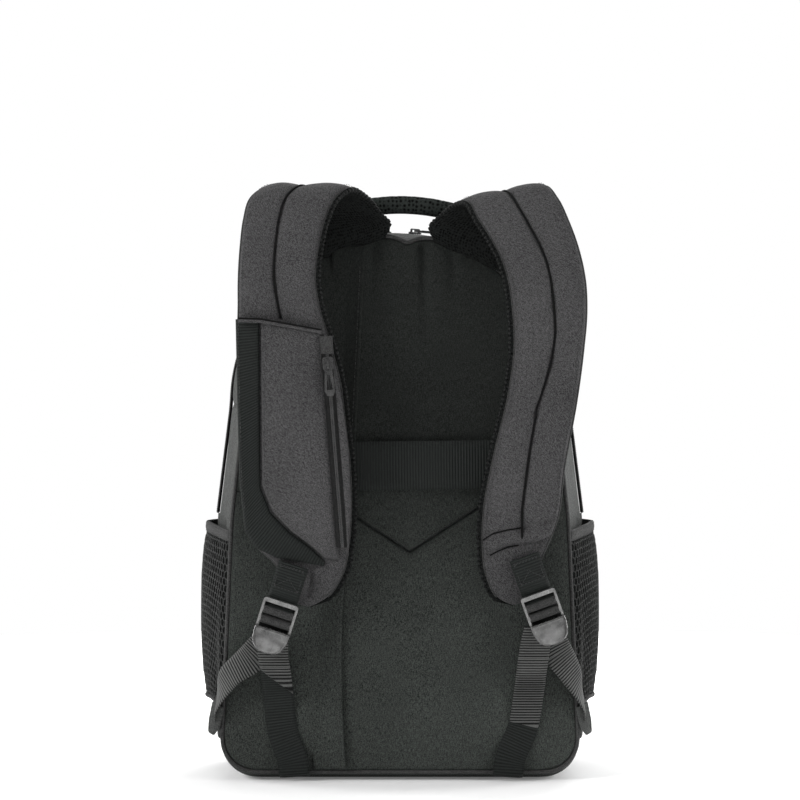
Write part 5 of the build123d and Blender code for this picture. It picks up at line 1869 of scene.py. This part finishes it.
def build_slit_pocket():
    """Facing on the upper front with a zipper sunk between its two lips."""
    outer = rounded_rectangle(*SLIT_OUTER, 10.0, 10, 24)
    inner = rounded_rectangle(*SLIT_INNER, 3.0, 10, 24)
    apart = np.linalg.norm(inner - outer[0] * SLIT_INNER / SLIT_OUTER, axis=1)
    inner = np.roll(inner, -int(np.argmin(apart)), axis=0)
    profile = (
        (0.0, 0.3), (0.0, 1.6), (0.06, 2.7), (0.18, 3.3), (0.35, 3.4), (0.55, 3.3), (0.75, 3.6), (0.9, 3.9),
        (0.98, 3.4), (1.0, 2.2), (1.0, 0.9),
    )
    rows = [[(x, FRONT_Y + h, SLIT_Z + z) for x, z in outer + (inner - outer) * t] for t, h in profile]
    obj = grid("slit_pocket_facing_cloth", rows, SIDE, ring=True, flip=True)
    finish_piece(obj, "front_flap", ["slit_pocket_facing"])
    path = [(x, SLIT_Y - 0.2, SLIT_Z) for x in np.linspace(-88.5, 88.5, 120)]
    zip_half("slit_zip_low", path, (0, 1, 0), (0, 0, -1), 8.8, "front_flap", ["slit_zip_tapes"], 0.6, 0.0)
    zip_half("slit_zip_high", path, (0, 1, 0), (0, 0, 1), 8.8, "front_flap", [], 0.6, 0.0)
    runs = []
    for loop, scale, y in ((outer, (0.975, 0.9), 153.35), (inner, (1.03, 1.42), 153.75)):
        runs.append(([(x, y, SLIT_Z + z) for x, z in closed(loop) * scale], (0, 1, 0)))
    finish_piece(stitches("slit_pocket_stitches", runs), "front_flap")


# ---- inside ----------------------------------------------------------------------------------------
def build_inside():
    """Padded laptop sleeve wall with its strap, and the lined foam board behind the back panel."""
    loop = rounded_rectangle(236.0, 284.0, 14.0, 10, 30) + np.array([0.0, 148.0])
    divider = plate("laptop_divider_pad", loop, lambda a, b, h: (a, 36.0 + h, b), 4.0, LINING, edge=2.5)
    finish_piece(divider, "bag", ["laptop_divider"])
    top = closed(loop)[closed(loop)[:, 1] > 40.0]
    start = int(np.argmax(np.linalg.norm(np.diff(top, axis=0), axis=1)) + 1)
    top = np.roll(top[:-1], -start, axis=0)
    line = [(x, 38.0, z) for x, z in spaced(top, 260)]
    cord = tube("laptop_divider_binding", line, (0, 1, 0), 2.0, DARK_BINDING)
    finish_piece(cord, "bag")

    board = outline(BACK_Y, 6.0)
    lined = plate("back_lining_pad", board, lambda a, b, h: (a, 8.4 + h, b), 3.8, LINING, edge=3.0)
    finish_piece(lined, "bag", ["back_foam_board"])

    path = [(13.5, 257.0), (13.5, 275.0), (13.9, 288.0), (17.0, 292.6), (24.0, 293.6), (31.5, 292.6),
            (34.6, 288.0), (34.9, 275.0), (34.9, 257.0)]
    centres = [(0.0, y, z) for y, z in path]
    strap = ribbed_strip("laptop_strap_webbing", centres, [(1, 0, 0)] * len(centres), 38.0, 1.7, DARK_AND_SHADED_WEBBING)
    finish_piece(strap, "bag", ["laptop_strap"])


# ---- seams on the bag ------------------------------------------------------------------------------
def build_bag_seams():
    """Visible sewing on the bag's panels, and the raised cord seam above the base."""
    build_gusset_stitches()
    build_base_cord()
    xs = np.linspace(-118.0, 118.0, 120)
    y = 0.9 * math.exp(-2.6 / 3.5) - 0.15
    line = [(x, y, z + 2.6) for x, z in zip(xs, chevron_z(xs))]
    finish_piece(stitches("chevron_stitches", [(line, (0, -1, 0))], radius=0.18), "bag")


def build_gusset_stitches():
    """Stitches along the seams that cross the bag's sides."""
    runs = []
    for x in (-1.0, 1.0):
        for z in (SIDE_LOW_Z + 3.0, SPRING_Z - 3.0, SPRING_Z + 3.5):
            high = ZIP_Y - 2.0 if z < 100 else ZIP_Y - TAPE_EDGE - 2.0
            line = []
            for y in np.linspace(BACK_Y + 4.0, high, 30):
                values = bag_values(y)
                if z <= values[1]:
                    wide = side_x(y, z)
                else:
                    wide = math.sqrt(max(values[0] ** 2 - (z - values[1]) ** 2, 0))
                line.append((x * (wide + 0.15), y, z))
            runs.append((line, (x, 0, 0)))
    finish_piece(stitches("gusset_stitches", runs), "bag")


def build_base_cord():
    """Raised cord round both sides and the front, in the seam above the base."""
    base = []
    for y in np.linspace(BACK_Y + 1.0, 136.0, 50):
        base.append((side_x(y, SIDE_LOW_Z + 6.0), y, SIDE_LOW_Z - 0.2))
    corner = [(147.0, 141.0), (144.0, 147.0), (137.5, 150.2)]
    base += [(x, y, SIDE_LOW_Z - 0.2) for x, y in corner]
    right = spaced(base, 160)
    front = spaced([(137.5, 150.2, SIDE_LOW_Z - 0.2), (-137.5, 150.2, SIDE_LOW_Z - 0.2)], 120)
    left = right[::-1] * np.array([-1.0, 1.0, 1.0])
    path = spaced(np.concatenate([right, front[1:-1], left]), 460)
    middle = np.array([0.0, 75.0, SIDE_LOW_Z])
    out = unit((path - middle) * np.array([1.0, 1.0, 0.0]))
    cord = tube("base_seam_cord", path, out, 1.0, BINDING)
    finish_piece(cord, "bag")


# ---- hardware from the frame -----------------------------------------------------------------------
# Material of each kind of hard part, and the width of its rounded edges.
HARDWARE = {"buckle": (BUCKLE_PLASTIC_PAINTED_REFLECTION, 1.15), "slider": (METAL, 0.18), "pull": (METAL, 0.35)}


def dress_hardware():
    """Better materials and rounded edges on the moulded and metal parts that the frame brings."""
    for name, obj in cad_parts.items():
        if obj.hide_render:
            continue
        material, width = HARDWARE[name.rsplit("_", 1)[1]]
        obj.data.materials.clear()
        obj.data.materials.append(material)
        bevel = obj.modifiers.new("edges", "BEVEL")
        bevel.width = width * MM
        bevel.segments = 3
        bevel.limit_method = "ANGLE"
        bevel.angle_limit = math.radians(40)


# ---- studio ----------------------------------------------------------------------------------------
def area_light(name, location, target, size, power):
    """White rectangular light that shines at a target."""
    data = bpy.data.lights.new(name, "AREA")
    data.shape = "RECTANGLE"
    data.size, data.size_y = size
    data.energy = power
    obj = bpy.data.objects.new(name, data)
    obj.location = location
    direction = Vector(target) - Vector(location)
    obj.rotation_euler = direction.to_track_quat("-Z", "Y").to_euler()
    bpy.context.scene.collection.objects.link(obj)


def pale_floor():
    """Floor that is plain near the bag and fades into the white surroundings further out."""
    p = Paint("pale_floor")
    o = p.coords("Object")
    colour = p.blend(p.ramp(p.noise(o, 3.0, 2.0), 0.2, 0.8), (0.86, 0.86, 0.86), (0.90, 0.90, 0.90))
    p.finish(colour, 0.9)
    far = p.add("VectorMath", {0: o}, operation="LENGTH").outputs["Value"]
    glow = p.math("MULTIPLY_ADD", p.ramp(far, 0.25, 1.15), 0.85, 0.12)
    p.shader.inputs["Emission Color"].default_value = (1.0, 1.0, 1.0, 1.0)
    p.tree.links.new(glow, p.shader.inputs["Emission Strength"])
    return p.material


def build_studio():
    """White surroundings, floor, lights and camera."""
    scene = bpy.context.scene
    scene.view_settings.view_transform = "Standard"
    world = bpy.data.worlds.new("studio")
    scene.world = world
    world.use_nodes = True
    nodes, links = world.node_tree.nodes, world.node_tree.links
    background = next(n for n in nodes if n.type == "BACKGROUND")
    background.inputs["Color"].default_value = (1.0, 1.0, 1.0, 1.0)
    rays = nodes.new("ShaderNodeLightPath")
    strength = nodes.new("ShaderNodeMapRange")
    strength.inputs["To Min"].default_value = 0.06
    strength.inputs["To Max"].default_value = 1.0
    links.new(rays.outputs["Is Camera Ray"], strength.inputs["Value"])
    links.new(strength.outputs[0], background.inputs["Strength"])

    below = (0.0, 0.0, -0.0006)
    bpy.ops.mesh.primitive_circle_add(vertices=128, radius=1.4, fill_type="NGON", location=below)
    floor = bpy.context.object
    floor.name = "studio_floor"
    floor.data.materials.append(pale_floor())

    middle = (0.0, -0.03, 0.27)
    area_light("key", (-1.75, -1.35, 1.35), middle, (0.8, 1.0), 33.0)
    area_light("fill", (1.85, -1.25, 0.95), middle, (0.8, 1.1), 16.0)
    area_light("front", (0.0, -2.4, 0.35), (0.0, 0.0, 0.12), (1.0, 0.4), 4.0)
    area_light("top", (0.0, -0.25, 1.7), (0.0, -0.03, 0.45), (1.3, 0.5), 9.0)
    area_light("left_edge", (-1.7, 0.55, 0.75), middle, (0.6, 1.3), 22.0)
    area_light("right_edge", (1.7, 0.55, 0.75), middle, (0.6, 1.3), 22.0)
    area_light("far_side", (0.9, 2.0, 1.3), middle, (1.2, 1.0), 24.0)
    area_light("floor_wash", (0.0, 1.5, 1.9), (0.0, 0.75, 0.0), (2.4, 1.2), 26.0)

    camera_data = bpy.data.cameras.new("camera")
    camera_data.lens = 120.0
    camera_data.sensor_width = 36.0
    view_width = 0.656
    distance = view_width * camera_data.lens / camera_data.sensor_width
    camera = bpy.data.objects.new("camera", camera_data)
    camera.location = (0.0, HOME_Y - 0.02 - distance, 0.315)
    camera.rotation_euler = (math.radians(90.0), 0.0, 0.0)
    scene.collection.objects.link(camera)
    scene.camera = camera


# ---- assembly --------------------------------------------------------------------------------------
build_studio()
build_bag()
build_front_piping()
back_panel(True)
back_panel(False)
build_placket()
build_piping()
build_luggage_band()
build_main_zip()
for side_name, stations_used in (("left", LEFT_STRAP), ("right", RIGHT_STRAP)):
    cover_frame = strap_cover(side_name, stations_used)
    strap_lining(side_name, stations_used)
    strap_edges(side_name, cover_frame)
    build_buckle_loop(side_name)
    build_buckle_webbing(side_name)
    build_hanging_webbing(side_name)
    build_bottle_pocket(side_name)
    build_anchor_tab(side_name)
    build_anchor_fold(side_name)
build_strap_pocket()
build_edge_webbing()
build_handle()
build_handle_feet()
build_front_pocket()
build_slit_pocket()
build_inside()
build_bag_seams()
build_back_zip()
dress_hardware()
